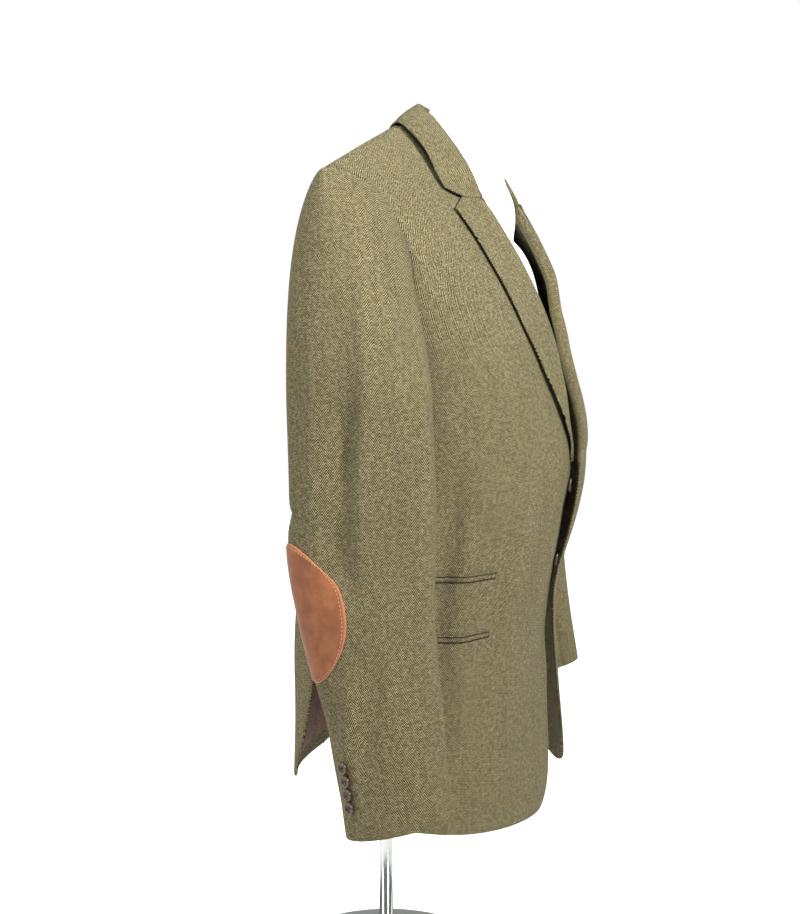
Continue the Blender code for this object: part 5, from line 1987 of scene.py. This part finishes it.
def make_stage():
    stage = bpy.context.scene.jacket_stage
    scene = bpy.context.scene
    make_floor()
    world = bpy.data.worlds.new("studio")
    world.use_nodes = True
    tree = world.node_tree
    sky = tree.nodes["Background"]
    sky.inputs["Color"].default_value = (1, 1, 1, 1)
    seen = tree.nodes.new("ShaderNodeLightPath")
    strength = tree.nodes.new("ShaderNodeMapRange")
    strength.inputs["To Min"].default_value = stage.ambient
    strength.inputs["To Max"].default_value = stage.daylight
    tree.links.new(seen.outputs["Is Camera Ray"], strength.inputs["Value"])
    tree.links.new(strength.outputs[0], sky.inputs["Strength"])
    scene.world = world
    scene.view_settings.view_transform = "Standard"
    soft_light("key", (-1.3, -2.2, 2.1), (-0.1, 0, 1.06), 0.7, stage.key, 66)
    soft_light("top", (-0.7, 0.4, 2.6), (-0.1, 0, 1.0), 1.0, stage.key * 0.42, 100)
    soft_light("fill", (-1.7, 1.8, 2.0), (0, 0, 1.0), 1.2, stage.fill)
    soft_light("left", (2.2, -1.2, 2.0), (0, 0, 0.9), 1.2, stage.fill * 0.5)
    data = bpy.data.cameras.new("camera")
    data.lens = stage.lens
    data.sensor_width = 36.0
    data.shift_y = stage.drop
    data.clip_start, data.clip_end = 0.05, 100.0
    camera = place_object("camera", data)
    camera.location = stage.camera
    camera.rotation_euler = (math.pi / 2 - stage.pitch, 0, stage.heading)
    scene.camera = camera


# ---- operators


class JACKET_OT_fronts(Operator):
    """Make the two fronts, their facings and their linings"""

    bl_idname = "jacket.fronts"
    bl_label = "Fronts"

    def execute(self, context):
        for word, side in SIDES:
            make_front(word, side)
            make_facing(word, side)
            make_front_lining(word, side)
        return {"FINISHED"}


class JACKET_OT_back(Operator):
    """Make the side panels, the back panels and their linings"""

    bl_idname = "jacket.back"
    bl_label = "Sides and back"

    def execute(self, context):
        for word, side in SIDES:
            make_side(word, side)
            make_back(word, side)
        make_back_lining()
        return {"FINISHED"}


class JACKET_OT_sleeves(Operator):
    """Make the two-piece sleeves"""

    bl_idname = "jacket.sleeves"
    bl_label = "Sleeves"

    def execute(self, context):
        for word, side in SIDES:
            make_sleeve(word, side)
        return {"FINISHED"}


class JACKET_OT_patches(Operator):
    """Make the suede elbow patches and their stitches"""

    bl_idname = "jacket.patches"
    bl_label = "Elbow patches"

    def execute(self, context):
        for word, side in SIDES:
            make_patch(word, side)
        return {"FINISHED"}


class JACKET_OT_collar(Operator):
    """Make the lapels, the collar and its stand"""

    bl_idname = "jacket.collar"
    bl_label = "Lapels and collar"

    def execute(self, context):
        for word, side in SIDES:
            make_lapel(word, side)
        make_collar()
        make_stand()
        return {"FINISHED"}


class JACKET_OT_pockets(Operator):
    """Make the pocket jets, the left flap and the bar tacks"""

    bl_idname = "jacket.pockets"
    bl_label = "Pockets"

    def execute(self, context):
        make_pockets()
        return {"FINISHED"}


class JACKET_OT_buttons(Operator):
    """Make the horn buttons, the buttonholes and the edge stitches"""

    bl_idname = "jacket.buttons"
    bl_label = "Buttons and stitches"

    def execute(self, context):
        make_buttons()
        make_pick_stitches()
        return {"FINISHED"}


class JACKET_OT_form(Operator):
    """Make the dress form with its pole and base"""

    bl_idname = "jacket.form"
    bl_label = "Form and stand"

    def execute(self, context):
        make_form()
        make_stand_metal()
        return {"FINISHED"}


class JACKET_OT_stage(Operator):
    """Make the floor, the lights and the camera"""

    bl_idname = "jacket.stage"
    bl_label = "Stage"

    def execute(self, context):
        make_stage()
        return {"FINISHED"}


OPERATORS = (JACKET_OT_stage, JACKET_OT_fronts, JACKET_OT_back, JACKET_OT_sleeves,
             JACKET_OT_patches, JACKET_OT_collar, JACKET_OT_pockets, JACKET_OT_buttons,
             JACKET_OT_form)


class JACKET_PT_panel(Panel):
    """The jacket's settings and its operators"""

    bl_idname = "JACKET_PT_panel"
    bl_label = "Hacking jacket"
    bl_space_type = "VIEW_3D"
    bl_region_type = "UI"
    bl_category = "Jacket"

    def draw(self, context):
        scene = context.scene
        for settings in (scene.jacket_cloth, scene.jacket_colours, scene.jacket_stage):
            box = self.layout.box()
            for name in settings.__annotations__:
                box.prop(settings, name)
        for operator in OPERATORS:
            self.layout.operator(operator.bl_idname)


GROUPS = (("jacket_cloth", JacketCloth), ("jacket_colours", JacketColours),
          ("jacket_stage", JacketStage))


def register():
    for name, group in GROUPS:
        bpy.utils.register_class(group)
        setattr(bpy.types.Scene, name, PointerProperty(type=group))
    for operator in OPERATORS:
        bpy.utils.register_class(operator)
    bpy.utils.register_class(JACKET_PT_panel)


def unregister():
    bpy.utils.unregister_class(JACKET_PT_panel)
    for operator in reversed(OPERATORS):
        bpy.utils.unregister_class(operator)
    for name, group in reversed(GROUPS):
        delattr(bpy.types.Scene, name)
        bpy.utils.unregister_class(group)


def main():
    register()
    bpy.ops.jacket.stage()
    bpy.ops.jacket.fronts()
    bpy.ops.jacket.back()
    bpy.ops.jacket.sleeves()
    bpy.ops.jacket.patches()
    bpy.ops.jacket.collar()
    bpy.ops.jacket.pockets()
    bpy.ops.jacket.buttons()
    bpy.ops.jacket.form()


if __name__ == "__main__":
    main()
